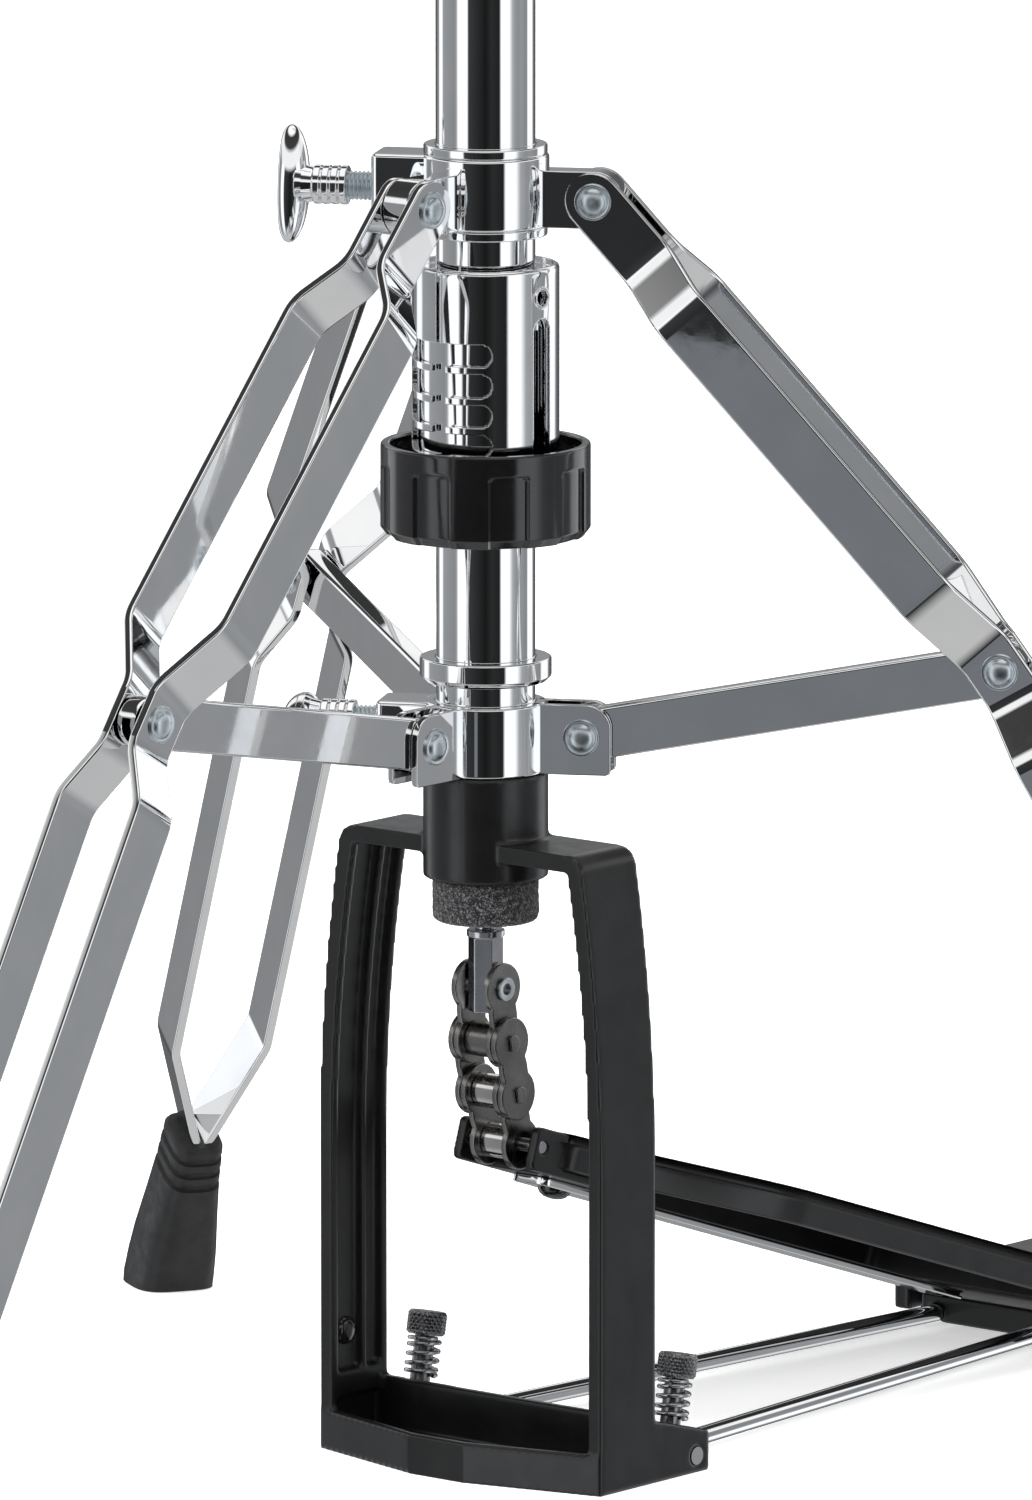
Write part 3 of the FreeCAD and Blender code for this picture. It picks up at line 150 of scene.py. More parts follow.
def felt_material(name):
    """Pressed grey felt: light flecks on near-black, matt, with a trace of sheen."""
    material, tree, shader = new_material(name)
    fleck = noise_field(tree, 720.0, 4.0, 0.75)
    cloud = noise_field(tree, 2100.0, 2.0)
    total = add_node(tree, "ShaderNodeMath", operation="ADD")
    tree.links.new(fleck, total.inputs[0])
    tree.links.new(cloud, total.inputs[1])
    mean = add_node(tree, "ShaderNodeMath", operation="MULTIPLY")
    mean.inputs[1].default_value = 0.5
    tree.links.new(total.outputs[0], mean.inputs[0])
    tones = [(0.42, (0.004, 0.004, 0.0045)), (0.51, (0.020, 0.020, 0.022)), (0.60, (0.16, 0.16, 0.165))]
    tree.links.new(coloured(tree, mean.outputs[0], tones), shader.inputs["Base Color"])
    for socket, amount in (("Roughness", 1.0), ("Specular IOR Level", 0.15), ("Sheen Weight", 0.15),
                           ("Sheen Roughness", 0.6)):
        shader.inputs[socket].default_value = amount
    relief(tree, shader, [(fleck, 0.9, 0.0009), (cloud, 0.8, 0.0003)])
    return material


def rubber_material(name):
    material, tree, shader, drift = surface(name, (0.006, 0.006, 0.0065), (0.014, 0.014, 0.015), (80.0, 4.0),
                                            (300.0, 4.0), 0.42, 0.6)
    grit = noise_field(tree, 2200.0, 2.0)
    relief(tree, shader, [(drift, 0.15, 0.0004), (grit, 0.35, 0.00006)])
    return material


CHROME = metal("chrome", (0.86, 0.87, 0.88), (0.93, 0.93, 0.935), 0.015, 0.05, depth=0.000004)
WING_CHROME = metal("wing_chrome", (0.84, 0.85, 0.87), (0.92, 0.92, 0.93), 0.03, 0.08)
CHROME_EDGED = metal("chrome_formed", (0.84, 0.85, 0.86), (0.92, 0.92, 0.925), 0.02, 0.06, edge=0.0005)
CAST_BLACK = paint("cast_black", (0.0035, 0.0035, 0.0038), (0.007, 0.007, 0.0074), 0.28, 0.38, coat=0.15)
BLACK_PLASTIC = paint("black_plastic", (0.004, 0.004, 0.0045), (0.007, 0.007, 0.0075), 0.10, 0.18,
                      depth=0.00002, coat=0.5)
GREY_FELT = felt_material("grey_felt")
RUBBER = rubber_material("rubber")
CHAIN_STEEL = metal("chain_steel", (0.21, 0.205, 0.20), (0.36, 0.35, 0.34), 0.20, 0.34, depth=0.00003)
PLAIN_STEEL = metal("plain_steel", (0.50, 0.50, 0.52), (0.68, 0.68, 0.70), 0.14, 0.26, depth=0.00003,
                    edge=0.0003)
SPRING_STEEL = metal("spring_steel", (0.42, 0.42, 0.44), (0.60, 0.60, 0.62), 0.16, 0.28, depth=0.00002)
DARK_STEEL = metal("dark_steel", (0.20, 0.20, 0.205), (0.36, 0.36, 0.37), 0.20, 0.32, depth=0.00003)
ROLLER_STEEL = metal("roller_steel", (0.62, 0.61, 0.60), (0.78, 0.77, 0.76), 0.07, 0.16, depth=0.00002)
ZINC = metal("zinc", (0.60, 0.67, 0.71), (0.78, 0.84, 0.87), 0.30, 0.42, depth=0.00003)
FINISHES = {
    "chrome": CHROME, "wing_chrome": WING_CHROME, "cast_black": CAST_BLACK, "black_plastic": BLACK_PLASTIC,
    "grey_felt": GREY_FELT, "rubber": RUBBER, "chain_steel": CHAIN_STEEL, "plain_steel": PLAIN_STEEL,
    "spring_steel": SPRING_STEEL, "zinc": ZINC,
}

# ---------------------------------------------------------------- mesh helpers, all in millimetres


def placed(points, matrix):
    points = np.asarray(points, float)
    return points @ np.array(matrix.to_3x3()).T + np.array(matrix.translation)


def axis_place(origin, direction, roll=0.0):
    """A matrix that carries local Z onto direction and the local origin onto origin."""
    turn = Vector(direction).to_track_quat("Z", "Y").to_matrix().to_4x4()
    return Matrix.Translation(Vector(origin)) @ turn @ Matrix.Rotation(roll, 4, "Z")


def joined(*parts):
    """Several (points, faces) pairs as one."""
    points, faces, start = [], [], 0
    for some_points, some_faces in parts:
        points.append(np.asarray(some_points, float))
        faces.extend([tuple(index + start for index in face) for face in some_faces])
        start += len(some_points)
    return np.concatenate(points), faces


def moved(part, matrix):
    return placed(part[0], matrix), part[1]


def turned(part, angle):
    """A part turned about Z by an angle in degrees."""
    c, s = cos(radians(angle)), sin(radians(angle))
    return np.asarray(part[0], float) @ np.array([[c, s, 0], [-s, c, 0], [0, 0, 1]]), part[1]


def crosswise(part, place=(0, 0, 0), side=1):
    """A part drawn along Z, laid along X; side is -1 to point it the other way."""
    return moved(part, axis_place(place, (side, 0, 0)))


def arc(radius, start, end, step, centre=(0.0, 0.0)):
    """Points on a circle from one angle up to another, in degrees."""
    return [(centre[0] + radius * cos(radians(a)), centre[1] + radius * sin(radians(a)))
            for a in np.arange(start, end, step)]


def grid_faces(rows, columns, wrap_rows=False):
    """Faces of a grid of points, row by row, whose columns run all the way round."""
    faces = []
    for row in range(rows if wrap_rows else rows - 1):
        above = (row + 1) % rows
        for column in range(columns):
            beside = (column + 1) % columns
            faces.append((row * columns + column, row * columns + beside,
                          above * columns + beside, above * columns + column))
    return faces


def lofted(rings, closed=False):
    """Rings of points joined into a surface, with its two ends capped unless it closes on itself."""
    count = len(rings[0])
    points = np.concatenate(rings)
    faces = grid_faces(len(rings), count, closed)
    if not closed:
        faces.append(tuple(range(count))[::-1])
        faces.append(tuple(range(len(points) - count, len(points))))
    return points, faces


def softened(profile, radius, steps=4, closed=False):
    """A 2-D path with its corners rounded."""
    profile = [np.array(corner, float) for corner in profile]
    count = len(profile)
    result = []
    for index, corner in enumerate(profile):
        if not closed and index in (0, count - 1):
            result.append(corner)
            continue
        into = profile[index - 1] - corner
        out = profile[(index + 1) % count] - corner
        long_in, long_out = np.linalg.norm(into), np.linalg.norm(out)
        into, out = into / long_in, out / long_out
        cosine = float(np.clip(into @ out, -1, 1))
        if cosine < -0.995:
            result.append(corner)
            continue
        half = np.arccos(cosine) / 2
        reach = min(radius / tan(half), 0.48 * long_in, 0.48 * long_out)
        start, end = corner + into * reach, corner + out * reach
        for step in range(steps + 1):
            part = step / steps
            result.append((1 - part) ** 2 * start + 2 * part * (1 - part) * corner + part ** 2 * end)
    return result


def lathe(profile, segments=96, closed=False, wobble=None):
    """A surface turned about Z from (radius, height) pairs; wobble changes the radius from place to place."""
    rings = []
    angles = np.linspace(0, TURN, segments, endpoint=False)
    for radius, height in profile:
        radii = np.full(segments, max(radius, 1e-4))
        if wobble:
            radii = radii + np.array([wobble(angle, height, radius) for angle in angles])
        rings.append(np.stack([radii * np.cos(angles), radii * np.sin(angles), np.full(segments, height)], 1))
    return lofted(rings, closed)


def rod(radius, foot, top, edge=0.5, segments=64):
    """A solid round bar between two heights with softened rims."""
    return lathe(softened([(0, foot), (radius, foot), (radius, top), (0, top)], edge), segments)


def sleeve(outer, inner, foot, top, edge=0.4, segments=96):
    profile = softened([(outer, foot), (outer, top), (inner, top), (inner, foot)], edge, 3, True)
    return lathe(profile, segments, True)


def outline_inset(outline, inset):
    outline = np.asarray(outline, float)
    before = outline - np.roll(outline, 1, 0)
    after = np.roll(outline, -1, 0) - outline
    before /= np.linalg.norm(before, axis=1)[:, None]
    after /= np.linalg.norm(after, axis=1)[:, None]
    inward_a = np.stack([-before[:, 1], before[:, 0]], 1)
    inward_b = np.stack([-after[:, 1], after[:, 0]], 1)
    middle = inward_a + inward_b
    middle /= np.linalg.norm(middle, axis=1)[:, None]
    reach = np.clip((middle * inward_a).sum(1), 0.4, 1.0)
    return outline + middle * (inset / reach)[:, None]


def stacked(outline, section):
    """A solid whose outline in XY is drawn in by each (inset, height) of a section."""
    return lofted([np.column_stack([outline_inset(outline, inset), np.full(len(outline), height)])
                   for inset, height in section])


def slab(outline, low, high, edge=0.4, steps=3):
    """A flat plate from a counter-clockwise outline in XY, its rims rounded."""
    angles = [pi / 2 * step / steps for step in range(steps + 1)]
    section = [(edge * (1 - sin(angle)), low + edge * (1 - cos(angle))) for angle in angles]
    section += [(edge * (1 - cos(angle)), high - edge * (1 - sin(angle))) for angle in angles]
    return stacked(outline, section)


def box_slab(low, high, edge=0.5, corner=0.6):
    """A box between two corners with rounded edges, thick in Z."""
    outline = [(low[0], low[1]), (high[0], low[1]), (high[0], high[1]), (low[0], high[1])]
    return slab(softened(outline, corner, 3, True), low[2], high[2], edge)


def swept(section, places, across, up, stretch=None):
    """A section, a list of (across, up) pairs, carried along places."""
    section = np.asarray(section, float)
    rings = []
    for index, place in enumerate(places):
        shape = section if stretch is None else section * stretch[index]
        rings.append(np.asarray(place) + shape[:, :1] * across[index] + shape[:, 1:] * up[index])
    return lofted(rings)


def wire(path, radius, side, segments=20):
    """A round wire along a path; side is a direction never parallel to it."""
    path = np.asarray(path, float)
    runs = np.gradient(path, axis=0)
    runs /= np.linalg.norm(runs, axis=1)[:, None]
    first = np.cross(runs, side)
    first /= np.linalg.norm(first, axis=1)[:, None]
    return swept(arc(radius, 0, 359.99, 360 / segments), path, np.cross(runs, first), first)


def coil_path(radius, wire_radius, foot, top, turns, steps=28):
    """The centre line of a compression spring about Z with one closed coil at each end."""
    live = turns - 2
    pitch = (top - foot - 6 * wire_radius) / live
    path = []
    for index in range(turns * steps + 1):
        number = index / steps
        closed_coils = min(number, 1) + max(0, number - 1 - live)
        rise = closed_coils * 2 * wire_radius + min(max(number - 1, 0), live) * pitch
        path.append((radius * cos(TURN * number), radius * sin(TURN * number), foot + wire_radius + rise))
    return path


def spring_wire(path, wire_radius):
    return wire(path, wire_radius, (0, 0, 1), 14)


def rounded_rectangle(wide, high, corner, steps=4):
    half_w, half_h = wide / 2, high / 2
    corners = [(-half_w, -half_h), (half_w, -half_h), (half_w, half_h), (-half_w, half_h)]
    return softened(corners, corner, steps, True)


def add_object(name, data):
    thing = bpy.data.objects.new(name, data)
    bpy.context.scene.collection.objects.link(thing)
    return thing


def mesh_from(name, part):
    points, faces = part
    mesh = bpy.data.meshes.new(name)
    mesh.from_pydata((np.asarray(points) * MM).tolist(), [], [list(face) for face in faces])
    return mesh


def face_outwards(mesh, merge_within=None):
    built = bmesh.new()
    built.from_mesh(mesh)
    if merge_within:
        bmesh.ops.remove_doubles(built, verts=built.verts, dist=merge_within)
    bmesh.ops.recalc_face_normals(built, faces=built.faces)
    built.to_mesh(mesh)
    built.free()


def keep_flat(thing, sharp_from):
    """Smooth shading that leaves large flat faces flat; edges sharper than sharp_from degrees stay sharp."""
    thing.data.shade_smooth()
    thing.data.set_sharp_from_angle(angle=radians(sharp_from))
    weighted = thing.modifiers.new("flat_faces_stay_flat", "WEIGHTED_NORMAL")
    weighted.weight = 100
    weighted.keep_sharp = True


def with_modifiers_applied(thing):
    evaluated = thing.evaluated_get(bpy.context.evaluated_depsgraph_get())
    mesh = bpy.data.meshes.new_from_object(evaluated)
    thing.modifiers.clear()
    thing.data = mesh


def make(node, body, slot, part, finish=None, stretched_to=None):
    """An object from (points, faces), standing for a CAD node.

    stretched_to is (another body, start, end): when it is given, the piece is baked in place and not attached
    to a body; the body and the two ends are not used.
    """
    thing = add_object("shown_" + node, mesh_from("shown_" + node, part))
    face_outwards(thing.data)
    keep_flat(thing, 40)
    thing.data.materials.append(finish or FINISHES[slot])
    if stretched_to:
        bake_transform(thing)
    else:
        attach(thing, body)
    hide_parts(node)
    return thing


def from_cad(node, body, slot, finish=None, cell=0.0, smoothing=3):
    """A node's own surface; cell (mm) remeshes it, so that its edges go soft like a casting's."""
    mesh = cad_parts[node].data.copy()
    mesh.name = "shown_" + node
    thing = add_object("shown_" + node, mesh)
    face_outwards(mesh, 2e-6)
    if cell:
        remesh = thing.modifiers.new("soft_cast", "REMESH")
        remesh.mode = "VOXEL"
        remesh.voxel_size = cell * MM
        remesh.use_smooth_shade = True
        smooth = thing.modifiers.new("soft_edges", "SMOOTH")
        smooth.iterations = smoothing
        smooth.factor = 0.5
        with_modifiers_applied(thing)
        thing.data.shade_smooth()
    else:
        keep_flat(thing, 32)
    thing.data.materials.clear()
    thing.data.materials.append(finish or FINISHES[slot])
    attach(thing, body)
    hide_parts(node)
    return thing


# ---------------------------------------------------------------- legs, braces and feet (in a leg's plane)

LEGS = {"leg_right": 30.0, "leg_left": 150.0, "leg_front": 270.0}
UPPER_PIVOT = np.array([32.3, 0.0, 371.0])
MID_RIVET = np.array([150.0, 0.0, 238.3])
LOWER_PIVOT = np.array([28.7, 0.0, 215.6])
FOOT_POINT = np.array([285.0, 0.0, 0.0])
STRIP_WIDTH, STRIP_THICK = 16.5, 2.7
# Between the strips' middle planes, at the upper pivot, the middle rivet, the two bulges and the foot.
TOP_SPREAD, RIVET_SPREAD, UPPER_BULGE, LOWER_BULGE, FOOT_SPREAD = 11.8, 10.6, 35.2, 29.0, 3.1
EAR_HALF, BRACE_HALF = 4.3, 3.1
Y_SIDE = np.array([0.0, 1.0, 0.0])


def unit(vector):
    vector = np.asarray(vector, float)
    return vector / np.linalg.norm(vector)


def dense(path, step):
    """A 2-D path with extra points so that no stretch is longer than step."""
    result = [np.array(path[0], float)]
    for start, end in zip(path[:-1], path[1:]):
        start, end = np.array(start, float), np.array(end, float)
        count = max(1, int(ceil(np.linalg.norm(end - start) / step)))
        for index in range(1, count + 1):
            result.append(start + (end - start) * index / count)
    return result


def strip_part(side):
    """One flat steel strip of a leg, bent out to its spread, from the upper pivot down into the foot."""
    upper_run = unit(MID_RIVET - UPPER_PIVOT)
    lower_run = unit(FOOT_POINT - MID_RIVET)
    upper_length = np.linalg.norm(MID_RIVET - UPPER_PIVOT)
    lower_length = np.linalg.norm(FOOT_POINT - MID_RIVET)
    round_end = STRIP_WIDTH / 2
    stations = [(-round_end, TOP_SPREAD), (24.4, TOP_SPREAD), (39.4, UPPER_BULGE), (147.7, UPPER_BULGE),
                (168.5, RIVET_SPREAD), (upper_length + 9.5, RIVET_SPREAD), (upper_length + 26, LOWER_BULGE),
                (upper_length + 177, LOWER_BULGE), (upper_length + 214, FOOT_SPREAD),
                (upper_length + lower_length - 14, FOOT_SPREAD)]
    path = softened([(along, side * spread / 2) for along, spread in stations], 12.0, 12)
    round_steps = (0.03, 0.08, 0.16, 0.28, 0.42, 0.6, 0.8, 1.0)
    path[1:1] = [np.array([round_end * (part - 1), path[0][1]]) for part in round_steps]
    slopes = np.gradient(np.array(path), axis=0)
    places, across, up, stretch = [], [], [], []
    for (along, out), slope in zip(path, slopes):
        if along < upper_length:
            run = upper_run
            base = UPPER_PIVOT + upper_run * along
        else:
            run = lower_run
            base = MID_RIVET + lower_run * (along - upper_length)
        at_bend = abs(along - upper_length) < 1.0
        wide = np.cross(Y_SIDE, unit(upper_run + lower_run) if at_bend else run)
        tangent = unit(run * slope[0] + Y_SIDE * slope[1])
        places.append(base + Y_SIDE * out)
        across.append(unit(wide))
        up.append(unit(np.cross(tangent, wide)))
        short_of_round = min(0.0, along) / round_end
        stretch.append(np.array([max(0.04, sqrt(max(0.0, 1 - short_of_round ** 2))), 1.0]))
    section = rounded_rectangle(STRIP_WIDTH, STRIP_THICK, 0.75, 5)
    return swept(section, places, across, up, stretch)


def brace_part():
    """The folded channel, open below, from the lower collar's pivot to the leg's rivet."""
    along = unit(MID_RIVET - LOWER_PIVOT)
    up = unit(np.cross(along, Y_SIDE))
    length = np.linalg.norm(MID_RIVET - LOWER_PIVOT)
    high, half, wall = 7.5, BRACE_HALF, 1.5
    outline = [(-half, -high), (-half + wall, -high), (-half + wall, high - wall), (half - wall, high - wall),
               (half - wall, -high), (half, -high), (half, high), (-half, high)]
    section = softened(outline, 1.1, 3, True)
    reaches = [0.06, 0.3, 0.8, 1.6, 2.8, 4.4, 6.0, high]
    stations = [-high + reach for reach in reaches] + [length + high - reach for reach in reaches[::-1]]
    beyond = [max(0.0, -station, station - length) for station in stations]
    stretch = [np.array([1.0, max(0.05, sqrt(max(0.0, 1 - (past / high) ** 2)))]) for past in beyond]
    places = [LOWER_PIVOT + along * station for station in stations]
    return swept(section, places, [Y_SIDE] * len(places), [up] * len(places), stretch)


def superellipse(wide, deep, power, count=64):
    """A rounded outline, from a circle-like one (power 2) to a boxy one."""
    points = []
    for index in range(count):
        angle = TURN * index / count
        c, s = cos(angle), sin(angle)
        points.append((wide / 2 * abs(c) ** (2 / power) * (1 if c > 0 else -1),
                       deep / 2 * abs(s) ** (2 / power) * (1 if s > 0 else -1)))
    return points


SOLE_HEIGHT = 0.25
GROOVES = (0.085, 0.165, 0.245)  # down the foot's length


def foot_part():
    """A moulded rubber foot: a ribbed collar that widens to a rounded, flat-soled boot."""
    top = MID_RIVET + unit(FOOT_POINT - MID_RIVET) * (np.linalg.norm(FOOT_POINT - MID_RIVET) - 60.0)
    bottom = np.array([281.0, 0.0, 0.0])
    along = unit(bottom - top)
    span = np.linalg.norm(bottom - top)
    across = np.cross(Y_SIDE, along)
    sizes = np.array([(0.0, 12.6, 18.0), (0.012, 14.2, 20.0), (0.03, 15.4, 21.3), (0.16, 16.3, 22.2),
                      (0.22, 16.6, 22.5), (0.45, 19.2, 24.2), (0.7, 22.5, 26.0), (0.86, 23.8, 26.6),
                      (1.0, 24.3, 26.6), (1.08, 23.6, 25.6), (1.14, 21.6, 23.6)])
    stations = np.concatenate([np.linspace(0, 0.03, 5), np.linspace(0.035, 0.34, 92),
                               np.linspace(0.35, 1.14, 50)])
    rings = []
    for station in stations:
        wide, deep = [np.interp(station, sizes[:, 0], sizes[:, column]) for column in (1, 2)]
        groove = max(1.15 * max(0.0, 1 - ((station - middle) / 0.020) ** 4) for middle in GROOVES)
        centre = top + along * (span * station)
        ring = []
        for u, v in superellipse(wide - 2 * groove, deep - 2 * groove, 3.4):
            point = centre + Y_SIDE * u + across * v
            if point[2] < SOLE_HEIGHT:
                point = point - along * (point[2] - SOLE_HEIGHT) / along[2]
            ring.append(point)
        rings.append(ring)
    return lofted(rings)


def rivet_end(place, side, seat):
    """A rivet's washer and domed head on one side of a leg."""
    profile = [(0, -0.1), (5.3, -0.1), (5.3, 0.45), (5.05, 0.72), (4.6, 0.74), (4.15, 0.42), (3.85, 0.55),
               (3.6, 0.95), (3.1, 1.42), (2.3, 1.8), (1.2, 2.0), (0, 2.05)]
    return moved(lathe(profile, 48), axis_place(np.array(place) + Y_SIDE * side * seat, (0, side, 0)))


def rivet_pair(place, seat, inner=None):
    """A rivet's two ends with its shank, or, where inner is given, two stubs that start that far out."""
    parts = [rivet_end(place, side, seat) for side in (-1, 1)]
    if inner is None:
        parts.append(moved(rod(3.0, -seat, seat, 0.1, 32), axis_place(place, (0, 1, 0))))
    else:
        for side in (-1, 1):
            start = np.array(place) + Y_SIDE * side * inner
            parts.append(moved(rod(3.0, 0, seat - inner, 0.1, 32), axis_place(start, (0, side, 0))))
    return joined(*parts)


def on_each_leg(part):
    return joined(*[turned(part, azimuth) for azimuth in LEGS.values()])


LEG_STRIPS = joined(strip_part(-1), strip_part(1))
LEG_BRACE = brace_part()
LEG_FOOT = foot_part()
LEG_RIVETS = rivet_pair(MID_RIVET, (RIVET_SPREAD + STRIP_THICK) / 2 + 0.02,
                        (RIVET_SPREAD - STRIP_THICK) / 2 - 0.3)

for leg, azimuth in LEGS.items():
    make(leg + "_strips", leg, "chrome", turned(LEG_STRIPS, azimuth))
    make(leg + "_brace", leg + "_brace_arm", "chrome", turned(LEG_BRACE, azimuth))
    make(leg + "_foot", leg, "rubber", turned(LEG_FOOT, azimuth))
    make(leg + "_rivets", leg, "zinc", turned(LEG_RIVETS, azimuth))

# ---------------------------------------------------------------- tubes, rods, housing and knob

TUBE_R = 14.3


def drum(outer_at, inner, angles, heights, is_open):
    """A tube wall on a grid of angles (degrees) and heights; cells where is_open says so are left out."""
    columns, rows = len(angles), len(heights)
    around = [(cos(radians(angle)), sin(radians(angle))) for angle in angles]
    points = []
    for radius_at in (outer_at, lambda height: inner):
        for height in heights:
            radius = radius_at(height)
            points += [(radius * c, radius * s, height) for c, s in around]
    span = columns * rows
    solid = np.zeros((rows - 1, columns), bool)
    for row in range(rows - 1):
        for column in range(columns):
            wide = (angles[(column + 1) % columns] - angles[column]) % 360
            middle = (angles[column] + wide / 2) % 360
            solid[row, column] = not is_open(middle, (heights[row] + heights[row + 1]) / 2)
    faces = []
    for row in range(rows - 1):
        for column in range(columns):
            if not solid[row, column]:
                continue
            beside = (column + 1) % columns
            a, b = row * columns + column, row * columns + beside
            c, d = (row + 1) * columns + beside, (row + 1) * columns + column
            faces.append((a, b, c, d))
            faces.append((a + span, d + span, c + span, b + span))
            if row == 0 or not solid[row - 1, column]:
                faces.append((a, a + span, b + span, b))
            if row == rows - 2 or not solid[row + 1, column]:
                faces.append((d, c, c + span, d + span))
            if not solid[row, column - 1]:
                faces.append((a, d, d + span, a + span))
            if not solid[row, beside]:
                faces.append((b, b + span, c + span, c))
    return np.array(points), faces


SLOT_HALF, SLOT_TOP = 3.6, 334.0
SPRING_FOOT, SPRING_TOP = 287.2, 383.9
ROD_R, ROD_JOINT, ROD_TOP = 3.0, 560.0, 1065.0


def from_axis(angle):
    """Degrees from an angle to the nearer end of the X axis."""
    return min(angle % 180, 180 - angle % 180)


def slotted_tube():
    half = np.degrees(np.arcsin(SLOT_HALF / TUBE_R))
    fixed = [half, 180 - half, 180 + half, 360 - half]
    angles = sorted(set(np.round(np.concatenate([np.arange(0, 360, 3.0), fixed]), 4)))
    heights = [178.0, 178.6, 200.0, 240.0, 279.0, SLOT_TOP, 400.0, 470.0, 544.4, 545.0]
    return drum(lambda height: TUBE_R, TUBE_R - 1.5, angles, heights,
                lambda angle, height: 279 < height < SLOT_TOP and from_axis(angle) < half)


make("lower_tube", "base", "chrome", slotted_tube())
make("upper_tube", "height_tube", "chrome", sleeve(11.1, 9.7, 470, 800, 0.5, 128))
rod_profile = [(0, ROD_JOINT), (ROD_R, ROD_JOINT), (ROD_R, 1025), (2.75, 1025), (2.75, ROD_TOP), (0, ROD_TOP)]
make("pull_rod_upper", "pull_rod", "chrome", lathe(softened(rod_profile, 0.6), 48))
make("pull_rod_lower", "pull_rod", "plain_steel",
     joined(rod(ROD_R, 158, ROD_JOINT, 0.3, 48), sleeve(11.6, 3.02, 384, 390, 0.5)))
ring_profile = [(TUBE_R, 230.8), (17.4, 230.8), (19.0, 232.4), (19.0, 237.8), (TUBE_R, 237.8)]
make("retaining_ring", "base", "chrome", lathe(softened(ring_profile, 0.7, 4, True), 128, True))

HOUSING_R, HOUSING_WALL = 21.2, 1.8
HOUSING_FOOT, HOUSING_TOP = 276.0, 351.8
HOLE_HEIGHT, HOLE_R = 343.5, 2.4
SEAM_AZIMUTH = 270.0
NOTCH_COUNT, NOTCH_PITCH, NOTCH_TOP, NOTCH_HALF = 4, 8.7, 331.0, 3.3


def housing_open(angle, height):
    """Whether the housing's sheet is cut away: its long slots, small hole, seam or notches."""
    across = radians(from_axis(angle)) * HOUSING_R
    if hypot(across, max(0.0, height - SLOT_TOP)) < SLOT_HALF:
        return True
    if hypot(radians(min(angle, 360 - angle)) * HOUSING_R, height - HOLE_HEIGHT) < HOLE_R:
        return True
    off_seam = abs(angle - SEAM_AZIMUTH)
    beside_notches = 0 < NOTCH_TOP - height < NOTCH_COUNT * NOTCH_PITCH
    if off_seam < 2 and height > NOTCH_TOP or off_seam < 7 and beside_notches:
        return True
    along = (radians(off_seam) - radians(36)) * HOUSING_R
    for index in range(NOTCH_COUNT):
        middle = NOTCH_TOP - NOTCH_PITCH * index - NOTCH_HALF
        if hypot(max(0.0, along), height - middle) < NOTCH_HALF:
            return True
    return False


def rolled_rim(height):
    """The housing's outer radius, which rolls inwards over the last stretch below its top."""
    rim = 1.2
    into = max(0.0, height - (HOUSING_TOP - rim))
    return HOUSING_R - (rim - sqrt(max(0.0, rim * rim - into * into)))


housing_angles = sorted(set(np.round(np.concatenate([
    np.arange(0, 360, 4.0), np.arange(222, 318.1, 1.0), np.arange(0, 12.1, 0.75), np.arange(348, 360, 0.75),
    np.arange(168, 192.1, 1.0)]), 3)))
housing_heights = sorted(set(np.round(np.concatenate([
    [276.0, 276.6, 285.0, 292.0], np.arange(294, 348.1, 0.5), [349.5, 350.6],
    HOUSING_TOP - 1.2 + 1.2 * np.sin(np.radians([0, 30, 50, 70, 90]))]), 3)))
housing = drum(rolled_rim, HOUSING_R - HOUSING_WALL, housing_angles, housing_heights, housing_open)
cap_ring, foot_ring = [sleeve(HOUSING_R - HOUSING_WALL + 0.2, TUBE_R + 0.02, foot, foot + 2.0, 0.3, 128)
                       for foot in (HOUSING_TOP - 3.8, HOUSING_FOOT)]
hole_rim = lathe(softened([(2.35, -1.0), (3.2, -1.0), (3.2, 0.35), (2.35, 0.35)], 0.3, 3, True), 32, True)
hole_rim = crosswise(hole_rim, (HOUSING_R - 0.2, 0, HOLE_HEIGHT))
make("tension_housing", "base", "chrome", joined(housing, cap_ring, foot_ring, hole_rim), CHROME_EDGED)


LINER_R = 18.9


def liner_open(angle, height):
    at_slot = height < SLOT_TOP and radians(from_axis(angle)) * LINER_R < SLOT_HALF
    return at_slot or height > 340 and min(angle, 360 - angle) < 10


liner_angles = sorted(set(np.round(np.concatenate([np.arange(0, 360, 4.0), [11, 169, 191, 349]]), 3)))
liner_heights = [278.0, 300.0, SLOT_TOP, 340.0, 348.0]
make("tension_liner", "base", "chrome",
     drum(lambda height: LINER_R, LINER_R - 1.5, liner_angles, liner_heights, liner_open))

KNOB_FOOT, KNOB_TOP, KNOB_R, KNOB_RIM = 273.0, 300.0, 30.2, 27.4
PANEL_CORNER = 1.6


def knob_part():
    """A cup with a raised rim and eight shallow grip panels, open at the bottom, their corners rounded."""
    bore = HOUSING_R + 0.3
    foot, top, floor = KNOB_FOOT, KNOB_TOP, KNOB_TOP - 8
    outline = softened([(bore, foot), (KNOB_R - 2.0, foot), (KNOB_R, foot + 2.6), (KNOB_R, top),
                        (KNOB_RIM, top), (KNOB_RIM, floor), (bore, floor)], 0.9, 6, True)
    profile = dense(outline + [outline[0]], 0.45)[:-1]

    def panel(angle, height, radius):
        if radius < KNOB_R - 3.2 or height > KNOB_TOP - 2:
            return 0.0
        step = TURN / 8
        off = (angle - radians(8) + step / 2) % step - step / 2
        across = abs(off) * KNOB_R - (5.8 - PANEL_CORNER)
        above = height - (KNOB_TOP - 6 - PANEL_CORNER)
        outside = (hypot(across, above) if across > 0 and above > 0 else max(across, above)) - PANEL_CORNER
        part = min(1.0, max(0.0, 0.5 - outside / 0.7))
        return -1.1 * part * part * (3 - 2 * part)
    return lathe(profile, 480, True, panel)


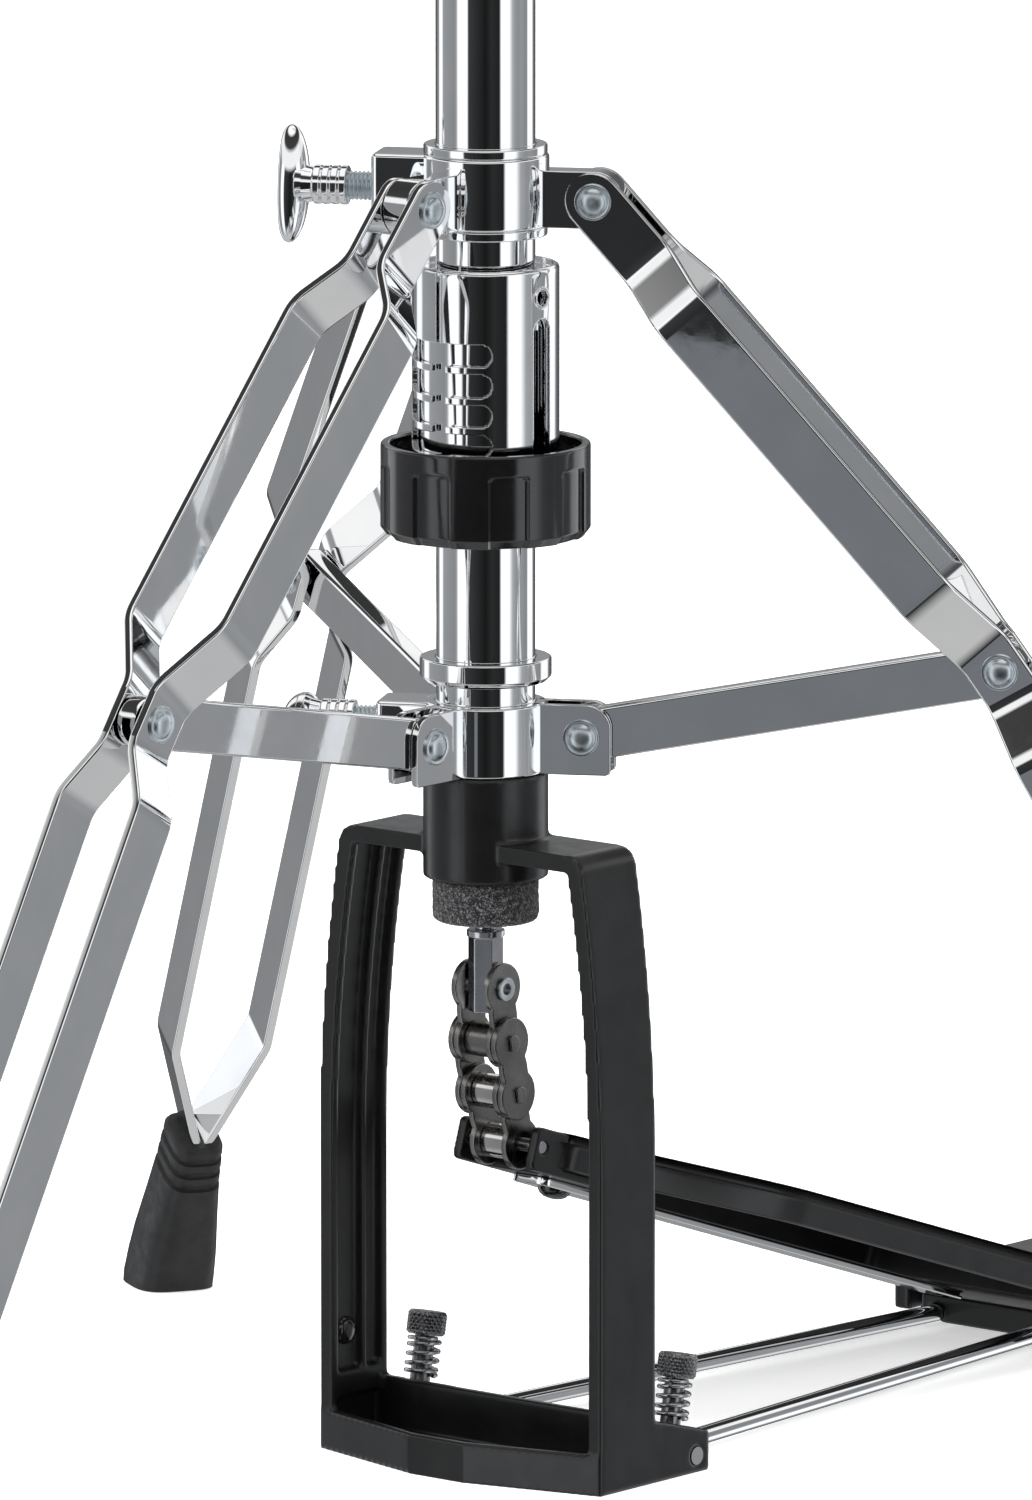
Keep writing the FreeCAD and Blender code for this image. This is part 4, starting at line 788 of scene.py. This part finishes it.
make("tension_knob", "tension_ring", "black_plastic", knob_part())
pins = [crosswise(rod(3.0, 0, 19.0, 0.4, 32), (side * 6.0, 0, 283.0), side) for side in (-1, 1)]
make("spring_seat", "spring_carrier", "plain_steel", joined(sleeve(12.5, 3.3, 279, 287, 0.4), *pins))
# The spring is cut in two at the split: the coils below are baked in place, and those above go with the rod.
SPRING_SPLIT, ROD_TRAVEL = 330.0, 46.0
spring_path = coil_path(10.0, 0.9, SPRING_FOOT, SPRING_TOP, 12)
split_index = next(index for index, point in enumerate(spring_path) if point[2] > SPRING_SPLIT)
spring_stretch = [Vector((0, 0, height * MM)) for height in (SPRING_FOOT, SPRING_SPLIT)]
lower_coils = make("return_spring", "spring_carrier", "spring_steel",
                   spring_wire(spring_path[:split_index + 1], 0.9), None, ("base", *spring_stretch))
lower_coils.name = "shown_return_spring_foot"
upper_coils = make("return_spring", "pull_rod", "spring_steel", spring_wire(spring_path[split_index:], 0.9))
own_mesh(upper_coils)

# ---------------------------------------------------------------- collars and their wing screws

LUG_AZIMUTH = 208.0
LEG_PLANE = Matrix(((1, 0, 0, 0), (0, 0, -1, 0), (0, 1, 0, 0), (0, 0, 0, 1)))


def tray(outline, low, top, wall, roof, rim=1.2):
    """A pressed cover, open below: a roof with a wall all round, its upper rim rounded."""
    section = [(wall + 1.2, top - roof), (wall, top - roof - 1.2), (wall, low + 0.4), (wall - 0.4, low),
               (0.5, low), (0.15, low + 0.15), (0, low + 0.5), (0, top - rim), (rim * 0.08, top - rim * 0.6),
               (rim * 0.3, top - rim * 0.3), (rim * 0.6, top - rim * 0.08), (rim, top)]
    return stacked(outline, section)


def clamp_lug(reach, foot, top):
    """The folded lug that the wing screw goes through."""
    outline = softened([(12, -8.5), (reach, -8.5), (reach, 8.5), (12, 8.5)], 2.2, 5, True)
    return turned(tray(outline, foot, top, 2.5, 3.0), LUG_AZIMUTH)


def ear_plate(outline, near, far):
    """A plate drawn in a leg's plane (reach, height) and lying between two distances to its side."""
    return moved(slab(outline, -far, -near, 0.35), LEG_PLANE)


def upper_collar():
    band = sleeve(18.3, 16.0, 362.8, 383.5, 1.0, 128)
    pivot_x, pivot_z = UPPER_PIVOT[0], UPPER_PIVOT[2]
    end = arc(8.25, -90, 91, 8, (pivot_x, pivot_z))
    bar = ear_plate([(16.5, pivot_z - 8.25)] + end + [(16.5, pivot_z + 8.25)], -EAR_HALF, EAR_HALF)
    return joined(band, clamp_lug(32.0, 364.8, 383.4), on_each_leg(bar))


def lower_collar():
    foot, top, reach = 204.6, 225.0, 37.2
    band = sleeve(17.7, TUBE_R + 0.05, foot, top, 0.8, 128)
    corner = arc(7, 0, 91, 9, (reach - 7, top - 7))
    outline = [(15.0, foot), (reach - 1.5, foot), (reach - 0.4, foot + 0.4), (reach, foot + 1.5), *corner,
               (15.0, top)]
    ears = [turned(ear_plate(outline, near, near + 2.2), azimuth)
            for azimuth in LEGS.values() for near in (BRACE_HALF + 0.2, -BRACE_HALF - 2.4)]
    return joined(band, clamp_lug(31.0, 210.6, 224.8), *ears)


make("upper_collar", "upper_hub", "chrome", upper_collar())
make("lower_collar", "tripod_hub", "chrome", lower_collar())
bush_profile = [(14.35, 360.0), (17.8, 360.0), (17.8, 362.8), (16.0, 362.8), (16.0, 383.5), (17.8, 383.5),
                (17.8, 386.3), (14.35, 386.3)]
make("upper_collar_bushing", "upper_hub", "chrome", lathe(softened(bush_profile, 0.6, 4, True), 128, True))
STRIP_SEAT = (TOP_SPREAD + STRIP_THICK) / 2 + 0.1
make("upper_collar_rivets", "upper_hub", "zinc", on_each_leg(rivet_pair(UPPER_PIVOT, STRIP_SEAT)))
make("lower_collar_rivets", "tripod_hub", "zinc", on_each_leg(rivet_pair(LOWER_PIVOT, BRACE_HALF + 2.42)))


def threaded(radius, start, end, pitch=1.25, segments=40):
    """A threaded bar along Z with a real helical ridge."""
    rows = int((end - start) / pitch * 10)
    rings = []
    for row in range(rows + 1):
        height = start + (end - start) * row / rows
        fade = min(1.0, (height - start) / pitch)
        ring = []
        for index in range(segments):
            angle = TURN * index / segments
            phase = (height / pitch - index / segments) % 1.0
            depth = 0.62 * (1 - abs(2 * phase - 1)) + 0.5 * (1 - fade)
            ring.append(((radius - depth) * cos(angle), (radius - depth) * sin(angle), height))
        rings.append(ring)
    return lofted(rings)


def wing_blade(thick=5.6, high=5.8, wide=17.0, rows=40, segments=64):
    """The oval wing of a wing screw, dished on its outer face, with a soft rolled rim."""
    points = []
    for row in range(rows + 1):
        latitude = -pi / 2 + pi * row / rows
        rho = cos(latitude)
        away = sin(latitude) * thick
        if away > 0:
            away *= 0.60 + 0.42 * rho ** 3
        for index in range(segments):
            angle = TURN * index / segments
            points.append((max(rho, 1e-4) * cos(angle) * wide, max(rho, 1e-4) * sin(angle) * high, away))
    return np.array(points), grid_faces(rows + 1, segments)


ALONG_X = Matrix(((0, 0, 1, 0), (0, 1, 0, 0), (-1, 0, 0, 0), (0, 0, 0, 1)))


def wing_screw(node, body, start, stem, wing, radius, height, roll):
    """A wing screw through a clamp lug: thread, ribbed stem and oval wing, as two finishes on one mesh."""
    screw = threaded(radius, start, stem + 0.5)
    ribs = [(radius + 0.1, stem)]
    for low in (stem, stem + 2.6, stem + 5.2, stem + 7.8):
        ribs += [(radius + 1.4, low + 0.1), (radius + 1.4, low + 1.9), (radius + 0.75, low + 2.15),
                 (radius + 0.75, low + 2.5)]
    ribs = [spot for spot in ribs if spot[1] < wing - 4.2]
    neck = [(radius + 1.4, wing - 4.0), (radius + 2.2, wing - 2.2), (radius - 0.5, wing - 0.5),
            (0, wing - 0.5)]
    boss = lathe(softened([(0, stem)] + ribs + neck, 0.3, 3), 64)
    blade = moved(wing_blade(), Matrix.Translation((0, 0, wing)))
    place = (Matrix.Translation((0, 0, height)) @ Matrix.Rotation(radians(LUG_AZIMUTH), 4, "Z")
             @ Matrix.Rotation(radians(roll), 4, "X") @ ALONG_X)
    thing = make(node, body, "wing_chrome", moved(joined(screw, boss, blade), place))
    thing.data.materials.append(ZINC)
    for polygon in thing.data.polygons[:len(screw[1])]:
        polygon.material_index = 1


wing_screw("upper_wing_screw", "upper_wing", 22.0, 40.0, 57.0, 4.25, 373.0, 8)
wing_screw("lower_wing_screw", "lower_wing", 21.0, 38.0, 55.0, 4.25, 218.0, 84)
wing_screw("clamp_wing_screw", "clamp_wing", 14.6, 41.0, 58.0, 4.2, 550.0, 8)
wing_screw("clutch_wing_screw", "clutch_wing", 3.4, 12.0, 24.0, 3.0, 1005.0, 8)

# ---------------------------------------------------------------- base frame, felt, rod end and chain

from_cad("base_frame", "base", "cast_black", cell=0.7)
button = lathe([(4.2, -0.4), (4.2, 0.3), (3.9, 1.0), (3.0, 1.6), (1.5, 1.95), (0, 2.05)], 40)
plugs = [crosswise(button, (side * (53.0 - 2.7), -3.5, 34), -side) for side in (-1, 1)]
make("frame_plugs", "base", "cast_black", joined(*plugs), BLACK_PLASTIC)


def ruffled(amount, seed):
    """A small irregular radius change, like cut felt."""
    generator = np.random.default_rng(seed)
    waves = [(generator.integers(3, 60), generator.uniform(0, TURN), generator.uniform(0.4, 3.0))
             for _ in range(24)]

    def at(angle, height, radius):
        total = sum(sin(count * angle + start + height * tilt) for count, start, tilt in waves)
        return amount * total / len(waves) ** 0.5
    return at


def felt_ring(outer, inner, foot, top, seed):
    profile = dense(softened([(outer, foot), (outer, top), (inner, top), (inner, foot)], 2.2, 6, True), 0.6)
    return lathe(profile, 220, True, ruffled(0.14, seed))


make("base_felt", "base", "grey_felt", felt_ring(15.25, 4.2, 160.8, 173.7, 3))
CHAIN_TOP = 141.2
hex_bar = slab(softened(arc(9.0 / sqrt(3), 30, 389, 60), 0.5, 3, True), 134.0, 156.0, 0.5)
make("rod_end", "pull_rod", "plain_steel", joined(hex_bar, rod(5.5, 156, 158, 0.35, 48)))
eyelet = lathe(softened([(1.7, -8.0), (3.4, -8.15), (3.4, -7.5), (2.75, -7.2), (2.75, 7.2), (3.4, 7.5),
                         (3.4, 8.15), (1.7, 8.0)], 0.25, 3, True), 40, True)
make("rod_end_pin", "pull_rod", "plain_steel", crosswise(eyelet, (0, 0, CHAIN_TOP)), ZINC)

PITCH, PLATE_THICK = 15.875, 2.0
LEANS = (4.0, 11.0, 15.0)


def chain_matrix(turns):
    here = Vector((0, 0, CHAIN_TOP))
    for lean in turns[:-1]:
        here += Vector((0, sin(radians(lean)), -cos(radians(lean)))) * PITCH
    return Matrix.Translation(here) @ Matrix.Rotation(radians(turns[-1]), 4, "X")


def waist(start, dip, end):
    """A chain plate's concave side between its two round ends."""
    return [((1 - t) ** 2 * start[0] + 2 * t * (1 - t) * dip + t * t * end[0],
             (1 - t) ** 2 * start[1] + 2 * t * (1 - t) * (-PITCH / 2) + t * t * end[1])
            for t in np.linspace(0.15, 0.85, 7)]


def figure_eight(radius=7.5, waist_half=5.4, step=6, past=47):
    """A chain plate's outline, hung along -Y; each round end runs past a half turn by that many degrees."""
    top = arc(radius, -past, 180.1 + past, step)
    low = arc(radius, 180 - past, 360.1 + past, step, (0, -PITCH))
    dip = 2 * waist_half - radius * cos(radians(past))
    return top + waist(top[-1], -dip, low[0]) + low + waist(low[-1], dip, top[0])


PLATE_PLACE = Matrix(((0, 0, 1, 0), (1, 0, 0, 0), (0, 1, 0, 0), (0, 0, 0, 1)))


def link_plates(inner_face):
    return [moved(slab(figure_eight(), low, low + PLATE_THICK, 0.45, 4), PLATE_PLACE)
            for low in (inner_face, -inner_face - PLATE_THICK)]


def cross_pin(radius, half, height, edge=0.2):
    return crosswise(rod(radius, -half, half, edge, 40), (0, 0, height))


def roller(height):
    return crosswise(sleeve(5.08, 3.95, -4.8, 4.8, 0.5, 56), (0, 0, height))


def pin_head(height, side, outer):
    """A pin's flattened, D-shaped end."""
    head = moved(slab(arc(2.5, -130, 131, 10), outer, outer + 1.0, 0.3), PLATE_PLACE)
    half_turn = 0 if side > 0 else pi
    return moved(head, Matrix.Translation((0, 0, height)) @ Matrix.Rotation(half_turn, 4, "Z"))


INNER = 4.95
top_link = joined(*link_plates(INNER), cross_pin(3.9, INNER + 2.0, -PITCH))
make("chain_link_top", "chain_top", "chain_steel", moved(top_link, chain_matrix(LEANS[:1])))
make("chain_roller_top", "chain_top", "chain_steel", moved(roller(-PITCH), chain_matrix(LEANS[:1])))
OUTER = INNER + 2.1
middle = link_plates(OUTER)
for height in (0, -PITCH):
    middle.append(cross_pin(2.5, OUTER + 2.1, height))
    middle += [pin_head(height, side, OUTER + 1.9) for side in (-1, 1)]
make("chain_link_middle", "chain_middle", "chain_steel", moved(joined(*middle), chain_matrix(LEANS[:2])))
bottom_link = joined(*link_plates(INNER), cross_pin(3.9, INNER + 2.0, 0),
                     cross_pin(4.3, INNER + 2.0, -PITCH, 0.3))
make("chain_link_bottom", "chain_bottom", "chain_steel", moved(bottom_link, chain_matrix(LEANS)))
make("chain_rollers_bottom", "chain_bottom", "chain_steel",
     moved(joined(roller(0), roller(-PITCH)), chain_matrix(LEANS)), ROLLER_STEEL)

# ---------------------------------------------------------------- pedal, heel, rods and spurs

HINGE = Vector((0, 243.0, 17.0))
PEDAL = Matrix.Translation(HINGE) @ Matrix.Rotation(radians(-18.3), 4, "X")
TOE = PEDAL.inverted() @ chain_matrix(LEANS + (0,)).translation

BOARD_TOP, BOARD_DEPTH, BOARD_THICK, BOARD_HALF, TOE_HALF = 5.6, 10.5, 2.8, 44.5, 15.0
BOARD_FOOT = BOARD_TOP - BOARD_DEPTH


def footboard_part():
    """The pressed footboard: a plate with a flange all round, its sides sweeping in to the toe."""
    right = [(BOARD_HALF, -9.0)]
    for part in np.linspace(0, 1, 25):
        ease = (1 - part) ** 2 * (1 + 2 * part)
        right.append((TOE_HALF + (BOARD_HALF - TOE_HALF) * ease, -160.0 - 65.0 * part))
    right.append((TOE_HALF, TOE.y + 10.6))
    left = [(-across, along) for across, along in right[::-1]]
    thick, low, top = BOARD_THICK, BOARD_FOOT, BOARD_TOP
    section = [(thick + 1.6, top - thick), (thick + 0.5, top - thick - 0.5), (thick, top - thick - 1.6),
               (thick, low + 0.5), (thick - 0.5, low), (0.6, low), (0.18, low + 0.18), (0, low + 0.6),
               (0, top - 2.2), (0.35, top - 1.05), (1.05, top - 0.35), (2.2, top)]
    return stacked(softened(left + right, 4.0, 3, True), section)


def hinge_lug(side):
    """The ear of the footboard round the heel pin."""
    plate = slab([(-13, -4.6), *arc(5.5, -90, 91, 10), (-13, 5.4)], 0.0, BOARD_THICK, 0.4)
    start = BOARD_HALF - BOARD_THICK if side > 0 else -BOARD_HALF
    return moved(plate, Matrix.Translation((start, 0, 0)) @ PLATE_PLACE)


def carve(thing, cutter_part):
    """Takes a part's volume out of an object."""
    cutter = add_object("cutter", mesh_from("cutter", cutter_part))
    difference = thing.modifiers.new("carve", "BOOLEAN")
    difference.operation = "DIFFERENCE"
    difference.solver = "EXACT"
    difference.object = cutter
    thing.modifiers.move(len(thing.modifiers) - 1, 0)
    bpy.context.view_layer.update()
    with_modifiers_applied(thing)
    bpy.data.objects.remove(cutter)


board = make("footboard", "pedal", "cast_black",
             moved(joined(footboard_part(), hinge_lug(-1), hinge_lug(1)), PEDAL))
grips = [box_slab((-15, back - 2.4, BOARD_TOP - 0.6), (15, back, BOARD_TOP + 1.0), 0.2, 0.5)
         for back in np.arange(-57.6, -170, -14)]
carve(board, moved(joined(*grips), PEDAL))
from_cad("toe_bracket", "pedal", "cast_black", cell=0.5)
toe_bar = moved(rod(2.0, -14.6, 14.6, 0.5, 32), PEDAL @ axis_place(TOE, (1, 0, 0)))
make("toe_pin", "pedal", "plain_steel", toe_bar)
BAR_THICK = 2.6
BAR_FOOT = BOARD_FOOT - 2.55 - BAR_THICK
bar_outline = softened([(-7, TOE.y + 14), (7, TOE.y + 14), (7, -26), (-7, -26)], 4.0, 8, True)
under_bar = slab(bar_outline, BAR_FOOT, BAR_FOOT + BAR_THICK, 0.5)
make("under_bar", "pedal", "plain_steel", moved(under_bar, PEDAL), CHROME)
screw_head = lathe([(0, -2.6), (1.2, -2.55), (2.6, -2.25), (3.9, -1.5), (4.6, -0.6), (4.8, 0.0), (2.4, 0.05),
                    (2.4, 8.0), (0, 8.0)], 48)
screw_place = PEDAL @ Matrix.Translation((0, TOE.y + 27, BAR_FOOT))
make("toe_screw", "pedal", "plain_steel", moved(screw_head, screw_place), BLACK_PLASTIC)

from_cad("heel_plate", "base", "cast_black", cell=0.85, smoothing=5)
pads = [box_slab((corner, 254.5, 0), (corner + 6, 306.5, 2.0), 0.4, 0.8) for corner in (-42, 36)]
make("heel_pads", "base", "rubber", joined(*pads))
heel_bar = rod(3.0, -45.0, 45.0, 0.2, 40)
heads = [rod(4.6, foot, foot + 1.8, 0.6, 48) for foot in (44.9, -46.7)]
make("heel_hinge_pin", "base", "plain_steel", crosswise(joined(heel_bar, *heads), HINGE))

rod_plans = [softened([(side * 53.0, 31.8), (side * 38.0, 31.8), (side * 20.0, 249.0)], 7.0, 12)
             for side in (-1, 1)]
radius_rods = [wire([(x, y, 5.0) for x, y in plan], 2.65, (0, 0, 1), 32) for plan in rod_plans]
make("radius_rods", "base", "chrome", joined(*radius_rods))


def knurled_head(radius, foot, top, count=24, rows=40, bevel_rows=4):
    """A screw head with a diamond knurl between two bevelled rims."""
    segments = count * 8
    points = []
    for row in range(-bevel_rows, rows + bevel_rows + 1):
        part = min(1.0, max(0.0, row / rows))
        height = foot + (top - foot) * part
        from_rim = min(part, 1 - part)
        past = max(0, -row, row - rows)
        if past:
            base, rough = radius * (1 - past / bevel_rows * 0.999), 0.0
        else:
            base, rough = radius - 0.7 * max(0.0, 1 - from_rim / 0.11), 0.55 * min(1.0, from_rim / 0.14)
        for index in range(segments):
            around = index / segments * count
            ridges = [abs(((around + lean * (height - foot)) % 1.0) * 2 - 1) for lean in (0.5, -0.5)]
            r = base - rough * max(ridges) ** 2
            angle = TURN * index / segments
            points.append((r * cos(angle), r * sin(angle), height))
    return np.array(points), grid_faces(rows + 2 * bevel_rows + 1, segments)


SPUR_LEAN = 11.0
BEAM_SLOPE = (18.2 - 11.7) / (37.6 - 13.1)  # of the cast floor beam's top, from 18.2 mm high at y 13.1
SPUR_Y = 26.4
spur_shank = lathe([(0, -14.2), (0.6, -14.2), (2.9, -10.2), (3.0, -10.0), (3.0, 13.6), (0, 13.6)], 48)
spur_screw = joined(spur_shank, knurled_head(5.8, 13.5, 20.5))
spur_spring = spring_wire(coil_path(4.5, 0.65, 1.2, 13.4, 5), 0.65)
for side, name in ((-1, "left"), (1, "right")):
    where = (Matrix.Translation((side * 47.2, SPUR_Y, 18.2 - BEAM_SLOPE * (SPUR_Y - 13.1)))
             @ Matrix.Rotation(-radians(SPUR_LEAN), 4, "X"))
    make("spur_screw_" + name, "spur_" + name, "plain_steel", moved(spur_screw, where), DARK_STEEL)
    spring_ends = [(where @ Vector((0, 0, height))) * MM for height in (0.8, 13.6)]
    make("spur_spring_" + name, "base", "spring_steel", moved(spur_spring, where), None,
         ("spur_" + name, *spring_ends))

# ---------------------------------------------------------------- upper half: clamp, seat and clutch

from_cad("height_clamp", "base", "wing_chrome", CHROME_EDGED)
from_cad("seat_cup", "height_tube", "chrome", CHROME_EDGED)
make("seat_felt", "height_tube", "grey_felt", felt_ring(19.0, 7.2, 814.0, 824.0, 5))
from_cad("clutch_body", "clutch", "chrome", CHROME_EDGED)


def serrated(angle, height, radius):
    return -0.35 * abs(sin(angle * 30)) if radius > 10 else 0.0


def clutch_nut(foot):
    outline = softened([(11.0, foot), (11.0, foot + 5), (6.0, foot + 5), (6.0, foot)], 0.5, 3, True)
    return lathe(dense(outline, 1.0), 360, True, serrated)


make("clutch_nuts", "clutch", "chrome", joined(*[clutch_nut(foot) for foot in (946.0, 976.0, 981.6)]))
make("clutch_felts", "clutch", "grey_felt",
     joined(felt_ring(16.0, 6.0, 951.2, 960.2, 7), felt_ring(16.0, 6.0, 966.8, 975.8, 9)))

# ---------------------------------------------------------------- floor, lights, surroundings and camera

AZIMUTH, ELEVATION = radians(39.75), radians(9.88)
RIGHT = Vector((cos(AZIMUTH), sin(AZIMUTH), 0))
AHEAD = Vector((-sin(AZIMUTH), cos(AZIMUTH), 0))
LOOK = AHEAD * cos(ELEVATION) - Vector((0, 0, sin(ELEVATION)))
DISTANCE = 5.143
TARGET = RIGHT * 0.008713 + Vector((0, 0, 0.21025))
LENS = 429.55


def studio_floor():
    half = 14.0 / MM
    corners = [(-half, -half, 0), (half, -half, 0), (half, half, 0), (-half, half, 0)]
    floor = add_object("floor", mesh_from("floor", (corners, [(0, 1, 2, 3)])))
    material, tree, shader = new_material("floor_paper")
    tones = [(0.3, (0.90, 0.90, 0.90)), (0.7, (0.93, 0.93, 0.93))]
    tree.links.new(coloured(tree, noise_field(tree, 3.0, 2.0), tones), shader.inputs["Base Color"])
    for socket, setting in (("Roughness", 0.9), ("Specular IOR Level", 0.0), ("Emission Strength", 0.5),
                            ("Emission Color", (1.0, 1.0, 1.0, 1))):
        shader.inputs[socket].default_value = setting
    floor.data.materials.append(material)
    floor.visible_glossy = False


def softbox(name, place, aim, wide, high, power, tint=(1, 1, 1)):
    light = bpy.data.lights.new(name, "AREA")
    light.shape = "RECTANGLE"
    light.size, light.size_y = wide, high
    light.energy = power
    light.color = tint
    lamp = add_object(name, light)
    lamp.location = place
    lamp.rotation_euler = (Vector(aim) - Vector(place)).to_track_quat("-Z", "Y").to_euler()
    lamp.visible_glossy = False
    lamp.visible_camera = False
    return lamp


def grey_card(name, seen_from, bearing, away, size, radiance, top, nodes):
    """A dim panel low in front that only some pieces mirror; top is its upper edge's height in metres."""
    way = Vector((cos(radians(bearing)), sin(radians(bearing)), 0)) * cos(ELEVATION)
    place = Vector(seen_from) + way * away
    place.z = top - size[1] / 2
    aim = Vector((seen_from[0], seen_from[1], place.z))
    power = radiance * pi * size[0] * size[1]
    card = softbox(name, place, aim, size[0], size[1], power, (0.93, 1.0, 1.09))
    card.visible_glossy = True
    receivers = bpy.data.collections.new(name + "_receivers")
    for node in nodes:
        receivers.objects.link(bpy.data.objects["shown_" + node])
    card.light_linking.receiver_collection = receivers


# How bright the panels and gaps are round the stand, by bearing in degrees from the camera's side.
BEARING_LEVELS = [
    (-180, 0.30), (-165, 0.09), (-153, 0.10), (-147, 0.24), (-137, 0.26), (-133, 1.15), (-120, 1.15),
    (-115, 0.34), (-100, 0.31), (-77, 0.27), (-71, 0.35), (-66, 1.2), (-43, 1.2), (-40, 0.045), (-22, 0.028),
    (0, 0.010), (14, 0.026), (33, 0.016), (37, 1.2), (56, 1.2), (66, 0.40), (80, 0.29), (92, 0.32), (111, 0.25),
    (116, 1.2), (136, 1.2), (142, 0.3), (150, 0.11), (165, 0.10), (180, 0.30)]
# The same overhead, by the upward part of the direction.
OVERHEAD_LEVELS = [(0.0, 1.0), (0.50, 1.0), (0.58, 0.05), (0.80, 0.04), (0.88, 1.1), (1.0, 1.1)]


def studio_world():
    """A pale studio whose panels and dark gaps, seen in the chrome, are at fixed bearings."""
    world = bpy.data.worlds.new("studio")
    bpy.context.scene.world = world
    world.use_nodes = True
    tree = world.node_tree
    tree.nodes.clear()
    link = tree.links.new

    def maths(operation, first, second):
        node = add_node(tree, "ShaderNodeMath", operation=operation)
        for socket, value in zip(node.inputs, (first, second)):
            if isinstance(value, float):
                socket.default_value = value
            else:
                link(value, socket)
        return node.outputs[0]

    def colour_mix(factor, first):
        node = add_node(tree, "ShaderNodeMix", data_type="RGBA")
        link(factor, node.inputs["Factor"])
        link(first, node.inputs["A"])
        return node

    split = add_node(tree, "ShaderNodeSeparateXYZ")
    link(add_node(tree, "ShaderNodeTexCoord").outputs["Generated"], split.inputs[0])
    rise = split.outputs["Z"]
    bearing = maths("ARCTAN2", split.outputs["Y"], split.outputs["X"])
    from_behind = maths("SUBTRACT", bearing, atan2(-AHEAD.y, -AHEAD.x) - pi)
    share = maths("FRACT", maths("DIVIDE", from_behind, TURN), 0.0)
    around = coloured(tree, share, [((angle + 180) / 360, (level * 0.97, level, level * 1.03))
                                    for angle, level in BEARING_LEVELS])
    overhead = coloured(tree, rise, [(height, (level, level, level)) for height, level in OVERHEAD_LEVELS])
    upper = colour_mix(ranged(tree, rise, 0.0, 1.0, 0.26, 0.32), around)
    link(overhead, upper.inputs["B"])
    lower = colour_mix(ranged(tree, rise, 0.0, 1.0, -0.50, -0.80), upper.outputs["Result"])
    lower.inputs["B"].default_value = (0.55, 0.55, 0.55, 1)
    mirrored = add_node(tree, "ShaderNodeBackground")
    link(lower.outputs["Result"], mirrored.inputs["Color"])
    backdrop = add_node(tree, "ShaderNodeBackground", Color=(1.0, 1.0, 1.0, 1))
    choice = add_node(tree, "ShaderNodeMixShader")
    link(add_node(tree, "ShaderNodeLightPath").outputs["Is Camera Ray"], choice.inputs["Fac"])
    link(mirrored.outputs[0], choice.inputs[1])
    link(backdrop.outputs[0], choice.inputs[2])
    link(choice.outputs[0], add_node(tree, "ShaderNodeOutputWorld").inputs["Surface"])


def photo_camera():
    camera = bpy.data.cameras.new("camera")
    camera.lens = LENS
    camera.sensor_width = 36.0
    camera.clip_end = 60.0
    holder = add_object("camera", camera)
    rise = RIGHT.cross(LOOK)
    turn = Matrix((RIGHT, rise, -LOOK)).transposed().to_4x4()
    holder.matrix_world = Matrix.Translation(TARGET - LOOK * DISTANCE) @ turn
    bpy.context.scene.camera = holder


studio_floor()
softbox("key", TARGET - LOOK * 2.2 + RIGHT * 2.4 + Vector((0, 0, 1.6)), (0, 0, 0.2), 1.6, 2.2, 60)
softbox("fill", TARGET - LOOK * 1.8 - RIGHT * 2.6 + Vector((0, 0, 1.2)), (0, 0, 0.2), 1.8, 2.4, 40)
softbox("top", (0, 0, 3.0), (0, 0, 0), 3.0, 3.0, 90)
CARD_BEARING, CARD_AWAY = 290.25, 1.2
grey_card("grey_card", (0.078, 0.045, 0.29), CARD_BEARING, CARD_AWAY, (1.5, 0.58), 0.16, 0.160,
          ["leg_right_strips", "leg_right_brace", "rod_end"])
grey_card("ear_card", (0.029, 0.0165, 0.215), CARD_BEARING, CARD_AWAY, (0.12, 0.14), 0.17, 0.08,
          ["lower_collar"])
studio_world()
photo_camera()
bpy.context.scene.view_settings.view_transform = "Standard"
